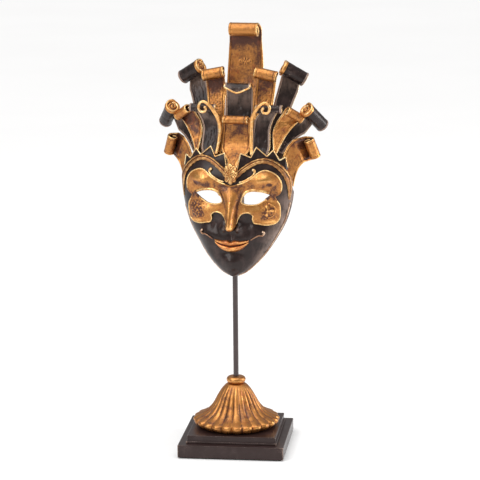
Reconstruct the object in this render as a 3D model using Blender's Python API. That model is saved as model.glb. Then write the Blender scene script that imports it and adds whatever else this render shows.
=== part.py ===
# Carnival mask with a ribbon headdress, on a turned stand with a square plinth.
# The stand axis is the world Z axis, the floor is z = 0, the front faces -Y.
# All lengths below are millimetres; they are turned into metres when a mesh is made.

import bpy
import bmesh
from math import sin, cos, pi, radians, sqrt, asin
from mathutils import Vector

MM = 0.001
GAP = 0.3                  # clearance between pieces that touch on the real object

# ---- stand ----
PAD_SIDE, PAD_T = 121.0, 1.0
PLINTH_SIDE, PLINTH_TOP = 127.0, 16.5
RECESS_R, RECESS_TOP = 13.0, 10.0
SLAB_SIDE, SLAB_STEP_SIDE = 106.3, 109.0
SLAB_STEP_TOP, SLAB_TOP = 19.2, 25.9
FLUTES = 24
COLLAR_LOW, COLLAR_HIGH, COLLAR_R = 78.3, 86.7, 11.7
ROD_R, ROD_LOW, ROD_HIGH = 3.25, 2.2, 318.0
BORE_R = ROD_R + GAP

# ---- head of the rod ----
CAP_R, CAP_LOW, CAP_HIGH = 4.35, 306.0, 319.6
TUBE_IN, TUBE_OUT, TUBE_LOW, TUBE_HIGH = 4.75, 5.75, 262.0, 326.0
BLOCK_HALF, BLOCK_LOW, BLOCK_HIGH = 11.0, 296.0, 324.0
BLOCK_FRONT, BLOCK_BACK = -9.6, 9.5

# ---- mask ----
MASK_TURN = -7.0           # the mask sits turned on the rod, degrees
SHELL_T = 3.0
LAY = 0.45                 # how far the laid-on pieces stand off the face
CHIN_Z = 213.0
RIBBON_T = 1.6
CORD_R = 1.1

# height: half width of the face, and how far back its rim lies
FACE_HALF = [(213, 4.5), (218, 14.9), (225, 23.8), (235, 33.5), (246, 41.6), (258, 49.2), (270, 56.1),
             (282, 61.2), (294, 64.8), (306, 67.2), (318, 68.3), (331, 68.6), (345, 68.0), (356, 67.0)]
FACE_RIM = [(213, -4.7), (218, -1.8), (225, 2.0), (235, 5.8), (246, 9.8), (258, 12.7), (270, 15.3),
            (282, 17.8), (294, 18.7), (318, 19.6), (331, 18.6), (356, 16.0)]
# height: how far forward the middle of the face lies
FACE_MID = [(205, -8), (213, -12), (222, -15.5), (235, -16.5), (248, -15.5), (262, -15), (280, -14),
            (310, -14), (331, -13), (345, -9.5), (356, -7)]
# distance from the middle: height of the top edge of the face
BROW_TOP = [(0, 332.5), (6.2, 337.5), (12.7, 343.3), (20.6, 348.8), (29.1, 353), (37.7, 354.2),
            (46.4, 352.0), (54.5, 346.5), (60.7, 338.7), (65.5, 330), (68.0, 318), (68.6, 312)]

EYE = [(12.2, 303.6), (12.4, 307.4), (14.8, 312.2), (18.2, 316), (24.5, 317.8), (31, 317.6), (38.6, 316.4),
       (46.2, 312.8), (42.6, 308.6), (36, 304.4), (30, 301.4), (22.5, 300.6), (16.2, 301.4)]
HALF_MASK = [(2.5, 323.7), (6.7, 325), (13.4, 326.7), (20, 330), (26, 333.7), (30, 337.5), (35, 340.7),
             (41, 341.5), (47.8, 339.2), (53, 335.3), (56.8, 329), (58, 322.5), (57.2, 316.5),
             (54.4, 312.4), (50.6, 310.2), (52.2, 305.6), (55.4, 300), (56.0, 292), (55, 283.5),
             (51, 278), (45, 276.6), (39, 276.6), (33, 277.8), (27, 279), (25, 283.5), (25.5, 287.5),
             (22, 290.6), (17, 291.2), (11.8, 289), (7.8, 283), (5.9, 276.5), (4.0, 271.8), (1.4, 270.3)]

GOLD = (0.45, 0.24, 0.09, 0.45, 0.55)
BLACK = (0.055, 0.042, 0.045, 0.38, 0.0)
STEEL = (0.55, 0.55, 0.56, 0.35, 1.0)
BRASS = (0.60, 0.45, 0.20, 0.35, 1.0)
WOOD = (0.40, 0.26, 0.15, 0.7, 0.0)
FELT = (0.05, 0.07, 0.05, 0.95, 0.0)
NYLON = (0.75, 0.74, 0.70, 0.5, 0.0)


def table(rows, key):
    """Straight-line reading of a two-column table."""
    if key <= rows[0][0]:
        return rows[0][1]
    for (a, va), (b, vb) in zip(rows, rows[1:]):
        if key <= b:
            return va + (vb - va) * (key - a) / (b - a)
    return rows[-1][1]


def face_y(x, z):
    """Depth of the outer surface of the face at a point seen from the front."""
    s = min(abs(x) / table(FACE_HALF, z), 1.0)
    mid, rim = table(FACE_MID, z), table(FACE_RIM, z)
    return mid + (rim - mid) * (1.0 - sqrt(1.0 - s * s))


def laid_y(x, z, dist):
    """Depth of a point lying the given distance in front of the face."""
    slope_x = (face_y(x + 0.5, z) - face_y(x - 0.5, z))
    slope_z = (face_y(x, z + 0.5) - face_y(x, z - 0.5))
    return face_y(x, z) - dist * min(3.0, sqrt(1.0 + slope_x * slope_x + slope_z * slope_z))


def finish(obj, look):
    r, g, b, rough, metal = look
    mat = bpy.data.materials.new(obj.name)
    mat.use_nodes = True
    shader = mat.node_tree.nodes["Principled BSDF"]
    shader.inputs["Base Color"].default_value = (r, g, b, 1.0)
    shader.inputs["Roughness"].default_value = rough
    shader.inputs["Metallic"].default_value = metal
    obj.data.materials.append(mat)


def piece(name, bm, look, parent=None, smooth=False):
    """Turn a bmesh in millimetres into a named object in metres."""
    bmesh.ops.recalc_face_normals(bm, faces=bm.faces)
    bmesh.ops.scale(bm, vec=(MM, MM, MM), verts=bm.verts)
    for face in bm.faces:
        face.smooth = smooth
    mesh = bpy.data.meshes.new(name)
    bm.to_mesh(mesh)
    bm.free()
    obj = bpy.data.objects.new(name, mesh)
    bpy.context.collection.objects.link(obj)
    obj.parent = parent
    finish(obj, look)
    return obj


def skin(rings, closed=True, caps=True):
    """Join a row of rings, each a list of points, into one body."""
    bm = bmesh.new()
    rows = [[bm.verts.new(p) for p in ring] for ring in rings]
    n = len(rows[0])
    for a, b in zip(rows, rows[1:]):
        for i in range(n if closed else n - 1):
            j = (i + 1) % n
            bm.faces.new((a[i], a[j], b[j], b[i]))
    if caps:
        bm.faces.new(rows[0])
        bm.faces.new(rows[-1])
    return bm


def turned(profile, steps, lobes=0):
    """Spin a closed (radius, height, lobe depth) profile about Z."""
    rings = []
    for r, z, d in profile:
        ring = []
        for i in range(steps):
            a = 2.0 * pi * i / steps
            k = r - d * (1.0 - abs(sin(0.5 * lobes * a)))
            ring.append((k * cos(a), k * sin(a), z))
        rings.append(ring)
    return skin(rings + [rings[0]], caps=False)


def merge(bm):
    bmesh.ops.remove_doubles(bm, verts=bm.verts, dist=0.0005)
    return bm


def ring_of(r_in, r_out, low, high, steps):
    return merge(turned([(r_in, low, 0), (r_out, low, 0), (r_out, high, 0), (r_in, high, 0)], steps))


def square(half, z):
    return [(-half, -half, z), (half, -half, z), (half, half, z), (-half, half, z)]


def prism(points, y_front, y_back):
    """A plate with the given front outline, standing across Y."""
    return skin([[(x, y, z) for x, z in points] for y in (y_front, y_back)])


def cutter(name, bm, parent=None):
    obj = piece(name, bm, STEEL, parent)
    obj.hide_render = True
    obj.display_type = "WIRE"
    return obj


def combine(obj, other, kind):
    mod = obj.modifiers.new(kind.lower(), "BOOLEAN")
    mod.operation = kind
    mod.solver = "EXACT"
    mod.object = other


def disc(r, z, steps):
    return [(r * cos(2 * pi * i / steps), r * sin(2 * pi * i / steps), z) for i in range(steps)]


def tube(path, r, sides=6, taper=None):
    """A round cord along a list of points."""
    pts = [Vector(p) for p in path]
    rings = []
    side = Vector((0, 1, 0))
    for i, p in enumerate(pts):
        t = (pts[min(i + 1, len(pts) - 1)] - pts[max(i - 1, 0)]).normalized()
        side = (side - t * side.dot(t)).normalized()
        up = t.cross(side)
        k = r if taper is None else r * taper(i / (len(pts) - 1))
        rings.append([p + side * (k * cos(2 * pi * j / sides)) + up * (k * sin(2 * pi * j / sides))
                      for j in range(sides)])
    return skin(rings)


def smooth_path(points, steps):
    """Points of a Catmull-Rom curve through the given ones, any number of values each."""
    out = []
    n = len(points)
    for i in range(n - 1):
        a, b, c, d = (points[max(i - 1, 0)], points[i], points[i + 1], points[min(i + 2, n - 1)])
        for s in range(steps):
            t = s / steps
            out.append(tuple(0.5 * (2 * q + (r - p) * t + (2 * p - 5 * q + 4 * r - w) * t * t
                                    + (3 * q - p - 3 * r + w) * t * t * t)
                             for p, q, r, w in zip(a, b, c, d)))
    out.append(tuple(points[-1]))
    return out


def ribbon(name, side, edges, centre, axis, half, radius, turns, pitch, look, parent,
           steps=3, tip=0.0, last_half=None):
    """
    A flat strip that rises from its foot and rolls forward at the top.
    edges: inner x, y, z and outer x, y, z at each height; side is +1 right, -1 left.
    centre, axis, half: middle, direction and half length of the roll.
    """
    rows = smooth_path(edges, steps)
    line = []
    for xi, yi, zi, xo, yo, zo in rows:
        p, q = Vector((xi * side, yi, zi)), Vector((xo * side, yo, zo))
        if side < 0:
            p, q = q, p
        line.append(((p + q) / 2, (q - p) / 2))
    a = Vector(axis).normalized()
    c = Vector(centre)
    if side < 0:
        a = Vector((a.x, -a.y, -a.z))
        c.x = -c.x
    rise = line[-1][0] - line[-2][0]
    e2 = (rise - a * rise.dot(a)).normalized()
    e1 = e2.cross(a)
    last = half if last_half is None else last_half
    count = max(6, int(round(turns * 12)))
    start_half = line[-1][1].length
    for k in range(count + 1):
        f = k / count
        ang = 2.0 * pi * turns * f
        r = radius - pitch * turns * f
        p = c + e1 * (r * cos(ang)) + e2 * (r * sin(ang))
        h = half + (last - half) * f
        if f < 0.12:
            h = start_half + (h - start_half) * f / 0.12
        line.append((p, a * h))
    rings = []
    n = len(line)
    columns = (-1.0, 0.0, 1.0) if tip else (-1.0, 1.0)
    for i in range(n):
        low, high = [], []
        for s in columns:
            g = i - tip * abs(s) * (i / (n - 1)) ** 6
            j = min(int(g), n - 2)
            f = g - j
            p = line[j][0] * (1 - f) + line[j + 1][0] * f + (line[j][1] * (1 - f) + line[j + 1][1] * f) * s
            t = line[min(j + 1, n - 1)][0] - line[max(j - 1, 0)][0]
            nrm = t.cross(line[j][1]).normalized() * (RIBBON_T / 2)
            low.append(p - nrm)
            high.append(p + nrm)
        rings.append(low + high[::-1])
    return piece(name, skin(rings), look, parent)


# ---------------------------------------------------------------- start
for old in list(bpy.data.objects):
    bpy.data.objects.remove(old, do_unlink=True)

mask_frame = bpy.data.objects.new("mask_frame", None)
bpy.context.collection.objects.link(mask_frame)
mask_frame.rotation_euler = (0.0, 0.0, radians(MASK_TURN))

# ---------------------------------------------------------------- stand
bm = skin([square(PAD_SIDE / 2, 0.0), square(PAD_SIDE / 2, PAD_T)])
piece("felt_pad", bm, FELT)

h, e = PLINTH_SIDE / 2, 0.8
low = PAD_T + GAP
bm = skin([square(h - e, low), square(h, low + e), square(h, PLINTH_TOP - e), square(h - e, PLINTH_TOP)])
plinth = piece("plinth", bm, BLACK)
bore = cutter("cut_plinth", merge(turned([(0.0, low - 2, 0), (RECESS_R, low - 2, 0), (RECESS_R, RECESS_TOP, 0),
                                          (BORE_R, RECESS_TOP, 0), (BORE_R, SLAB_TOP + 3, 0),
                                          (0.0, SLAB_TOP + 3, 0)], 24)))
combine(plinth, bore, "DIFFERENCE")

h, s, z = SLAB_SIDE / 2, SLAB_STEP_SIDE / 2, PLINTH_TOP + GAP
bm = skin([square(s, z), square(s, SLAB_STEP_TOP - 0.8), square(s - 0.5, SLAB_STEP_TOP),
           square(h, SLAB_STEP_TOP), square(h, SLAB_TOP - 0.9), square(h - 0.9, SLAB_TOP)])
slab = piece("plinth_slab", bm, BLACK)
combine(slab, bore, "DIFFERENCE")

z = SLAB_TOP + GAP
foot = [(BORE_R, z, 0), (44.0, z, 0.8), (49.8, 28.8, 2.4), (52.2, 32.6, 2.8), (51.0, 36.8, 2.8),
        (47.0, 39.2, 2.6), (41.0, 41.2, 2.3), (35.0, 44.8, 2.0), (30.8, 49.4, 1.7), (27.4, 54.4, 1.4),
        (24.8, 59.2, 1.2), (22.2, 64.0, 1.0), (18.8, 69.4, 0.7), (15.4, 73.8, 0.4), (12.4, 76.8, 0.0),
        (10.2, 78.0, 0.0), (BORE_R, 78.0, 0)]
piece("fluted_foot", merge(turned(foot, FLUTES * 3, FLUTES)), GOLD)

zc, hz = (COLLAR_LOW + COLLAR_HIGH) / 2, (COLLAR_HIGH - COLLAR_LOW) / 2
bead = [(BORE_R, COLLAR_LOW, 0)]
for i in range(7):
    a = radians(-81 + 27 * i)
    bead.append((COLLAR_R - hz + hz * cos(a), zc + hz * sin(a), 0))
bead.append((BORE_R, COLLAR_HIGH, 0))
piece("collar", merge(turned(bead, 24)), GOLD)

rod = [(0, ROD_LOW, 0), (ROD_R - 0.5, ROD_LOW, 0), (ROD_R, ROD_LOW + 0.6, 0), (ROD_R, ROD_HIGH - 0.6, 0),
       (ROD_R - 0.6, ROD_HIGH, 0), (0, ROD_HIGH, 0)]
piece("rod", skin([disc(r, z, 18) for r, z, d in rod[1:-1]]), BLACK)

piece("foot_washer", ring_of(BORE_R, 10.0, 8.2, 9.7, 20), STEEL)
bm = skin([disc(r, z, 6) for r, z in ((5.9, 2.9), (5.9, 7.9))])
nut = piece("foot_nut", bm, STEEL)
combine(nut, bore_nut := cutter("cut_nut", skin([disc(BORE_R, 2.0, 18), disc(BORE_R, 9.0, 18)])), "DIFFERENCE")

# ---------------------------------------------------------------- head of the rod
cap = [(0, CAP_HIGH, 0), (CAP_R - 0.5, CAP_HIGH, 0), (CAP_R, CAP_HIGH - 0.5, 0), (CAP_R, CAP_LOW, 0),
       (BORE_R, CAP_LOW, 0), (BORE_R, ROD_HIGH + GAP, 0), (0, ROD_HIGH + GAP, 0)]
rings = [disc(r, z, 20) for r, z, d in cap[1:-1]]
piece("rod_cap", skin(rings), NYLON, mask_frame)
piece("socket_tube", ring_of(TUBE_IN, TUBE_OUT, TUBE_LOW, TUBE_HIGH, 24), BRASS, mask_frame)

b = BLOCK_HALF
bm = skin([[(-b, BLOCK_FRONT, z), (b, BLOCK_FRONT, z), (b, 4.0, z), (6.5, BLOCK_BACK, z),
            (-6.5, BLOCK_BACK, z), (-b, 4.0, z)] for z in (BLOCK_LOW, BLOCK_HIGH)])
block = piece("socket_block", bm, WOOD, mask_frame)
hole = cutter("cut_block", skin([disc(TUBE_OUT + GAP, z, 24) for z in (BLOCK_LOW - 2, BLOCK_HIGH + 2)]),
              mask_frame)
combine(block, hole, "DIFFERENCE")

# ---------------------------------------------------------------- face
COLS, ROWS = 24, 15


def face_point(u, v):
    """Point of the outer surface: u runs -1 to 1 across, v 0 to 1 from the chin to the top edge."""
    across = sin(0.5 * pi * u)
    top = table(BROW_TOP, 68.6 * abs(across))
    z = CHIN_Z + (top - CHIN_Z) * v
    half, mid, rim = table(FACE_HALF, z), table(FACE_MID, z), table(FACE_RIM, z)
    return Vector((half * across, mid + (rim - mid) * (1 - cos(0.5 * pi * u)), z))


def face_inner(u, v):
    """The same point one shell thickness further in."""
    d = 0.02
    du = face_point(min(u + d, 1), v) - face_point(max(u - d, -1), v)
    dv = face_point(u, min(v + d, 1)) - face_point(u, max(v - d, 0))
    return face_point(u, v) + dv.cross(du).normalized() * SHELL_T


def grid_body(front, back):
    """Two sheets of points with the same layout, closed round their edges."""
    bm = bmesh.new()
    sheets = [[[bm.verts.new(p) for p in row] for row in sheet] for sheet in (front, back)]
    rows, cols = len(front), len(front[0])
    for sheet in sheets:
        for i in range(rows - 1):
            for j in range(cols - 1):
                bm.faces.new((sheet[i][j], sheet[i][j + 1], sheet[i + 1][j + 1], sheet[i + 1][j]))
    f, k = sheets
    for i in range(rows - 1):
        for j in (0, cols - 1):
            bm.faces.new((f[i][j], f[i + 1][j], k[i + 1][j], k[i][j]))
    for j in range(cols - 1):
        for i in (0, rows - 1):
            bm.faces.new((f[i][j], f[i][j + 1], k[i][j + 1], k[i][j]))
    return bm


us = [-1 + 2 * j / COLS for j in range(COLS + 1)]
vs = [(i / ROWS) ** 1.15 for i in range(ROWS + 1)]
bm = grid_body([[face_point(u, v) for u in us] for v in vs], [[face_inner(u, v) for u in us] for v in vs])
shell = piece("mask_shell", bm, BLACK, mask_frame, smooth=True)


def grown(points, by):
    cx = sum(x for x, z in points) / len(points)
    cz = sum(z for x, z in points) / len(points)
    out = []
    for x, z in points:
        d = Vector((x - cx, z - cz))
        d = d * (1 + by / d.length)
        out.append((cx + d.x, cz + d.y))
    return out


for side, tag in ((-1, "L"), (1, "R")):
    eye = [(side * x, z) for x, z in grown(EYE, 0.9)]
    combine(shell, cutter("cut_eye_" + tag, prism(eye, -60.0, 30.0), mask_frame), "DIFFERENCE")


# gilded half mask with the nose, laid over the face
def nose_rise(x, z):
    """How far the nose stands in front of the half mask."""
    if z > 322 or z < 266:
        return 0.0
    width = table([(266, 6.4), (272, 6.2), (290, 6.4), (316, 10.0)], z)
    high = table([(266, 12.0), (270.5, 15.0), (276, 16.5), (288, 13.5), (300, 9.0), (312, 3.5), (322, 0.0)], z)
    s = abs(x) / width
    return high * max(0.0, 1 - s * s) ** 0.6 if s < 1 else 0.0


xs = [0, 2.2, 4.35, 6.2, 7.6, 9.5, 12.2, 16.2, 21.2, 27.2, 33.3, 39.3, 45.2, 50.2, 53.9, 57.6, 61]
xs = [-x for x in reversed(xs[1:])] + xs
zs = [268, 271.2, 274.2, 278.3, 284.2, 291.6, 299.3, 307.8, 314.4, 320.3, 327.3, 334.4, 343]
front = [[(x, laid_y(x, z, LAY + 2.0) - nose_rise(x, z), z) for x in xs] for z in zs]
back = [[(x, laid_y(x, z, LAY), z) for x in xs] for z in zs]
half_mask = piece("half_mask", grid_body(front, back), GOLD, mask_frame, smooth=True)
line = HALF_MASK + [(-x, z) for x, z in reversed(HALF_MASK)]
combine(half_mask, cutter("cut_half_mask", prism(line, -70.0, 40.0), mask_frame), "INTERSECT")
for side, tag in ((-1, "L"), (1, "R")):
    eye = [(side * x, z) for x, z in EYE]
    combine(half_mask, cutter("cut_lid_" + tag, prism(eye, -65.0, 35.0), mask_frame), "DIFFERENCE")

# lips, a bowed bar laid on the face
rings = []
for i in range(13):
    x = -20.6 + 41.2 * i / 12
    t = abs(x) / 20.6
    top = 257.2 + (0.9 if 0.12 < t < 0.75 else 0.0) - (1.2 if t < 0.05 else 0.0)
    low = 243.8 + 12.6 * t * t
    mid = 251.2 + 5.2 * t * t
    thick = 4.0 * (1 - t * t) + 0.7
    y = [laid_y(x, h, LAY) for h in (low, mid, top)]
    rings.append([(x, y[0], low), (x, y[2], top), (x, y[2] - 0.6 * thick, top - 0.25 * (top - mid)),
                  (x, y[1] - 0.75 * thick, mid), (x, y[1] - 1.0 * thick, mid - 0.35 * (mid - low)),
                  (x, y[0] - 0.45 * thick, low + 0.08 * (mid - low))])
piece("lips", skin(rings), GOLD, mask_frame, smooth=True)

# ---------------------------------------------------------------- crown: what the ribbons are glued to
rows_f, rows_b = [], []
for z, y0, bow in ((330, -9.0, 15.0), (337, -1.5, 13.0), (345, 6.0, 13.0), (353, 13.2, 13.0),
                   (362, 21.5, 13.0), (371, 29.0, 13.0)):
    rf, rb = [], []
    for j in range(15):
        x = 56.0 * (-1 + 2 * j / 14)
        y = y0 + bow * (abs(x) / 56.0) ** 2.2
        rf.append((x, y, z + 2.0 * (abs(x) / 56.0)))
        rb.append((x, y + 2.0, z + 2.0 * (abs(x) / 56.0) - 1.5))
    rows_f.append(rf)
    rows_b.append(rb)
piece("crown_panel", grid_body(rows_f, rows_b), WOOD, mask_frame)

# ---------------------------------------------------------------- ribbons
centre = [("crest_ribbon", GOLD,
           [(-11, 9.0, 352, 11, 9.0, 352), (-15, 20, 366, 15, 20, 366), (-18.5, 32, 388, 18.5, 32, 388),
            (-21.2, 48, 415, 21.2, 48, 415), (-22.2, 58.5, 440, 22.2, 58.5, 440),
            (-21.3, 62.6, 466, 21.3, 62.6, 466), (-19.8, 62.6, 488, 19.8, 62.6, 488)],
           (0, 53.2, 500.6), (1, 0, 0), 17.6, 9.2, 1.3, 4.0, 0.0, 16.2),
          ("centre_black_ribbon", BLACK,
           [(-9, 3.4, 350, 9, 3.4, 350), (-12, 12.2, 362, 12, 12.2, 362), (-15.5, 22, 382, 15.5, 22, 382),
            (-16.6, 28.5, 403, 16.6, 28.5, 403), (-16.4, 31, 420, 16.4, 31, 420)],
           (0, 23.8, 432.5), (1, 0, 0), 15.6, 7.4, 0.58, 0.0, 2.3, None),
          ("centre_gold_ribbon", GOLD,
           [(-4.2, -17.0, 338, 4.2, -17.0, 338), (-5.4, -11.6, 345, 5.4, -11.6, 345),
            (-6.8, -4.0, 352, 6.8, -4.0, 352), (-16.6, 7.0, 362, 16.6, 7.0, 362),
            (-17.8, 12.4, 372, 17.8, 12.4, 372), (-16.8, 14.2, 386, 16.8, 14.2, 386)],
           (0, 8.4, 397.8), (1, 0, 0), 14.8, 5.6, 1.2, 3.0, 0.0, 14.2)]
for name, look, edges, c, a, half, r, turns, pitch, tip, last in centre:
    ribbon(name, 1, edges, c, a, half, r, turns, pitch, look, mask_frame, tip=tip, last_half=last)

sides = [("inner_gold_ribbon", GOLD,
          [(18.0, 8.5, 357, 29, 9.5, 356), (18.2, 17, 374, 33.5, 18, 374), (18.4, 26, 395, 37.5, 27, 395),
           (18.8, 31.5, 412, 39.8, 32.5, 412), (18.6, 35.4, 430, 41.6, 36.4, 430)],
          (32.2, 29.8, 449.6), (0.975, -0.03, -0.19), 13.2, 7.9, 1.25, 3.8, 12.4),
         ("outer_black_ribbon", BLACK,
          [(32, 15.5, 360, 44, 18.5, 359), (35.5, 24, 377, 51, 28, 375), (37.8, 33, 395, 55.5, 37, 394),
           (40, 40, 415, 61, 43.5, 412), (43.4, 45.4, 431, 67, 50, 429)],
          (62.8, 45.4, 450.2), (0.80, 0.27, -0.50), 15.8, 9.0, 1.25, 4.2, 14.8),
         ("black_panel_ribbon", BLACK,
          [(23.5, 1.0, 358, 39.5, 3.5, 358), (20.6, 5.4, 366, 41.6, 7.5, 366),
           (20.2, 9.6, 377, 41.2, 11.2, 377), (20.6, 12.3, 388, 40.8, 14.2, 388),
           (22.2, 13.4, 398, 43.8, 15.6, 398)],
          (40.4, 9.7, 411.2), (1.0, 0.04, 0.02), 16.0, 5.6, 1.2, 3.2, 15.4),
         ("leaf_gold_ribbon", GOLD,
          [(46.6, 7.6, 360, 49.6, 8.2, 359.5), (45.6, 11, 367, 52.0, 12.0, 366),
           (44.2, 15, 376, 57.2, 17.8, 377), (44.0, 19, 386, 63.6, 23.0, 387),
           (47.8, 23.0, 396, 69.8, 28.2, 394)],
          (68.4, 22.0, 403.4), (0.74, 0.42, -0.52), 10.8, 6.6, 1.2, 3.6, 10.2),
         ("lower_black_ribbon", BLACK,
          [(50.0, 16.8, 361, 54.5, 17.2, 357.5), (51.5, 21.0, 372, 60.5, 23.0, 366),
           (55.0, 26.6, 384, 68.6, 30.0, 374.5), (63.5, 34.0, 396, 78.6, 37.6, 381)],
          (89.6, 36.8, 399.4), (0.43, 0.62, -0.65), 17.8, 8.6, 1.2, 4.4, 16.8),
         ("low_gold_ribbon", GOLD,
          [(54.0, 13.6, 349, 68.8, 21.6, 318), (57.0, 16.0, 358, 70.2, 22.6, 331),
           (61.0, 18.8, 367, 73.4, 24.8, 341), (67.4, 23.0, 374.5, 78.6, 29.0, 347)],
          (86.6, 34.0, 362.4), (0.30, 0.24, -0.92), 12.0, 8.0, 1.2, 4.2, 10.8)]
for name, look, edges, c, a, half, r, turns, pitch, last in sides:
    for side, tag in ((-1, "_L"), (1, "_R")):
        ribbon(name + tag, side, edges, c, a, half, r, turns, pitch, look, mask_frame, last_half=last)

# ---------------------------------------------------------------- cords and trim
VOLUTE = [(21.6, -2.6, 358), (20.2, 4.2, 370), (19.2, 8.0, 382), (19.4, 8.4, 392), (21.2, 4.8, 401.5),
          (25.8, 2.0, 410.5), (31.4, 1.3, 417.4), (37.4, 1.4, 420.6), (41.8, 1.2, 418.3),
          (43.2, 1.1, 413), (40.4, 1.1, 408.6), (35.8, 1.1, 408.8), (34.2, 1.1, 412.6), (37.0, 1.1, 414.8)]
for side, tag in ((-1, "_L"), (1, "_R")):
    pts = [(side * x, y, z) for x, y, z in smooth_path(VOLUTE, 2)]
    piece("volute_cord" + tag, tube(pts, CORD_R), GOLD, mask_frame, smooth=True)

# gilded band along the top edge of the face
BROW = [(0, 330.0), (6.0, 334.6), (12.9, 340.6), (20.9, 346.0), (29.2, 350.0), (37.6, 351.4),
        (45.6, 349.6), (53.8, 344.8), (60.4, 337.2), (63.9, 328.6), (65.0, 318), (64.4, 305)]
path = [(-x, z) for x, z in reversed(BROW[1:])] + BROW
rings = []
for i, (x, z) in enumerate(path):
    xa, za = path[max(i - 1, 0)]
    xb, zb = path[min(i + 1, len(path) - 1)]
    t = Vector((xb - xa, zb - za)).normalized()
    nx, nz = -t.y, t.x
    ring = []
    for off, rise in ((-2.4, 0.0), (-2.0, 2.2), (-0.4, 3.2), (1.4, 2.8), (2.4, 1.0), (2.4, 0.0)):
        px, pz = x + nx * off, z + nz * off
        ring.append((px, laid_y(px, pz, LAY + 0.45) - rise, pz))
    rings.append(ring)
piece("brow_band", skin(rings), GOLD, mask_frame)

# black saw-tooth collar standing on the top edge of the face
TEETH = [(0, 336.2, -12.4), (6.2, 340.8, -11.8), (7.8, 350.0, -9.6), (9.8, 361.0, -7.5), (21.8, 356.2, -5.5), (27.8, 368.2, -2.0),
         (40.5, 357.4, -1.5), (47.2, 364.6, 2.8), (54.6, 352.4, 3.2), (61.0, 356.0, 8.0), (63.4, 343.0, 9.0)]
front, back = [[], []], [[], []]
full = [(-x, z, y) for x, z, y in reversed(TEETH[1:])] + TEETH
for x, z, y in full:
    xt = max(-62.0, min(62.0, x))
    base = table(BROW_TOP, abs(xt)) + 1.2
    yb = face_y(xt, base)
    front[0].append((xt, yb, base))
    front[1].append((x, y, z))
    back[0].append((xt, yb + 1.5, base + 0.3))
    back[1].append((x, y + 1.2, z))
piece("saw_tooth_collar", grid_body(front, back), BLACK, mask_frame)

# small gilded boss where the band, the half mask and the centre ribbon meet
rings = []
for r, y in ((0.72, -18.6), (0.98, -19.6), (1.0, -20.6), (0.72, -22.4), (0.34, -23.4)):
    ring = []
    for i in range(24):
        a = 2 * pi * i / 24
        k = r * (1.0 - 0.16 * (1 - abs(cos(4 * a))))
        ring.append((8.0 * k * cos(a), y, 337.5 + 12.0 * k * sin(a)))
    rings.append(ring)
piece("rosette", skin(rings), GOLD, mask_frame)

# scroll lines on the brow and on the cheeks
BROW_LINE = [(9.0, 327.8), (14.5, 329.0), (20.4, 332.2), (25.2, 335.4), (27.6, 339.0), (26.6, 342.0),
             (24.2, 341.6)]
CHEEK_LINE = [(23.0, 258.6), (28.0, 261.6), (32.6, 264.0), (37.0, 264.0), (38.8, 267.0), (36.2, 268.8)]
for name, points in (("brow_scroll", BROW_LINE), ("cheek_scroll", CHEEK_LINE)):
    for side, tag in ((-1, "_L"), (1, "_R")):
        flat = smooth_path(points, 2)
        pts = [(side * x, laid_y(x, z, LAY + 1.1), z) for x, z in flat]
        piece(name + tag, tube(pts, 0.9, 5, lambda f: 1.0 - 0.3 * abs(2 * f - 1)), GOLD, mask_frame,
              smooth=True)
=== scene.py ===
"""Finished surfaces for a carnival mask with a ribbon headdress on a turned stand."""

from math import atan2, cos, hypot, pi, radians, sin, sqrt

import bmesh
import bpy
import numpy as np
from bpy.props import FloatProperty, FloatVectorProperty, PointerProperty
from mathutils import Matrix, Vector, noise


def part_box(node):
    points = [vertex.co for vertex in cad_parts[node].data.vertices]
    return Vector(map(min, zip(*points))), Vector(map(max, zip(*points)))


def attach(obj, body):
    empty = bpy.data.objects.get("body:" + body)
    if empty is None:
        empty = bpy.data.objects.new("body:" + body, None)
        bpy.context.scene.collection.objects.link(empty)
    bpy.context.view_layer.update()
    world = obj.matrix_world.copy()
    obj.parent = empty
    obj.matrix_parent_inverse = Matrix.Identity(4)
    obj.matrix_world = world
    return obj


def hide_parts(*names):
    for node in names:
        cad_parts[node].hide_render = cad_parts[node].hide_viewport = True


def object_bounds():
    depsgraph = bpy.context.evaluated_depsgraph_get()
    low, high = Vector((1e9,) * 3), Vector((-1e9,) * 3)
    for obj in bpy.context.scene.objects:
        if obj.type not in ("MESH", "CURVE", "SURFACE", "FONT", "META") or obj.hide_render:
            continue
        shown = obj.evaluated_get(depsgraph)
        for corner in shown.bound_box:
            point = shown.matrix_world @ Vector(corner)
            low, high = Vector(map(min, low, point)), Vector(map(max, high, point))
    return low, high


bl_info = {
    "name": "Carnival Mask on a Stand",
    "version": (1, 0, 0),
    "blender": (4, 5, 0),
    "location": "3D View > Sidebar > Mask",
    "description": "Builds the gilded and lacquered surfaces of a ribbon-crowned mask around its frame",
    "category": "Object",
}

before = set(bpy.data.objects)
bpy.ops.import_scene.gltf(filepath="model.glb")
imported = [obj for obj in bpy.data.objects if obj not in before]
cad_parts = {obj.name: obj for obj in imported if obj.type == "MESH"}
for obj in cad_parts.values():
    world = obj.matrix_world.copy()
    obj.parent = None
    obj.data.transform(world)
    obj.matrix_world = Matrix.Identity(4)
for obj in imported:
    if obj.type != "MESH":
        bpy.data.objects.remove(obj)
FRAME_LOW, FRAME_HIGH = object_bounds()

MM = 0.001
STAND, SWIVEL, MASK = "stand", "swivel", "mask"

# ---- the part's own measures, in millimetres in the mask's own frame ----
MASK_TURN = radians(-7.0)
SHELL_T = 3.0
LAY = 0.45
CHIN_Z = 213.0
FACE_WIDEST = 68.6
RIBBON_T = 1.6
FLUTES = 24
ROD_BORE = 3.55

# ---- the studio ----
SKY_LIGHT = 0.36
SKY_SEEN = 0.965

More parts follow.
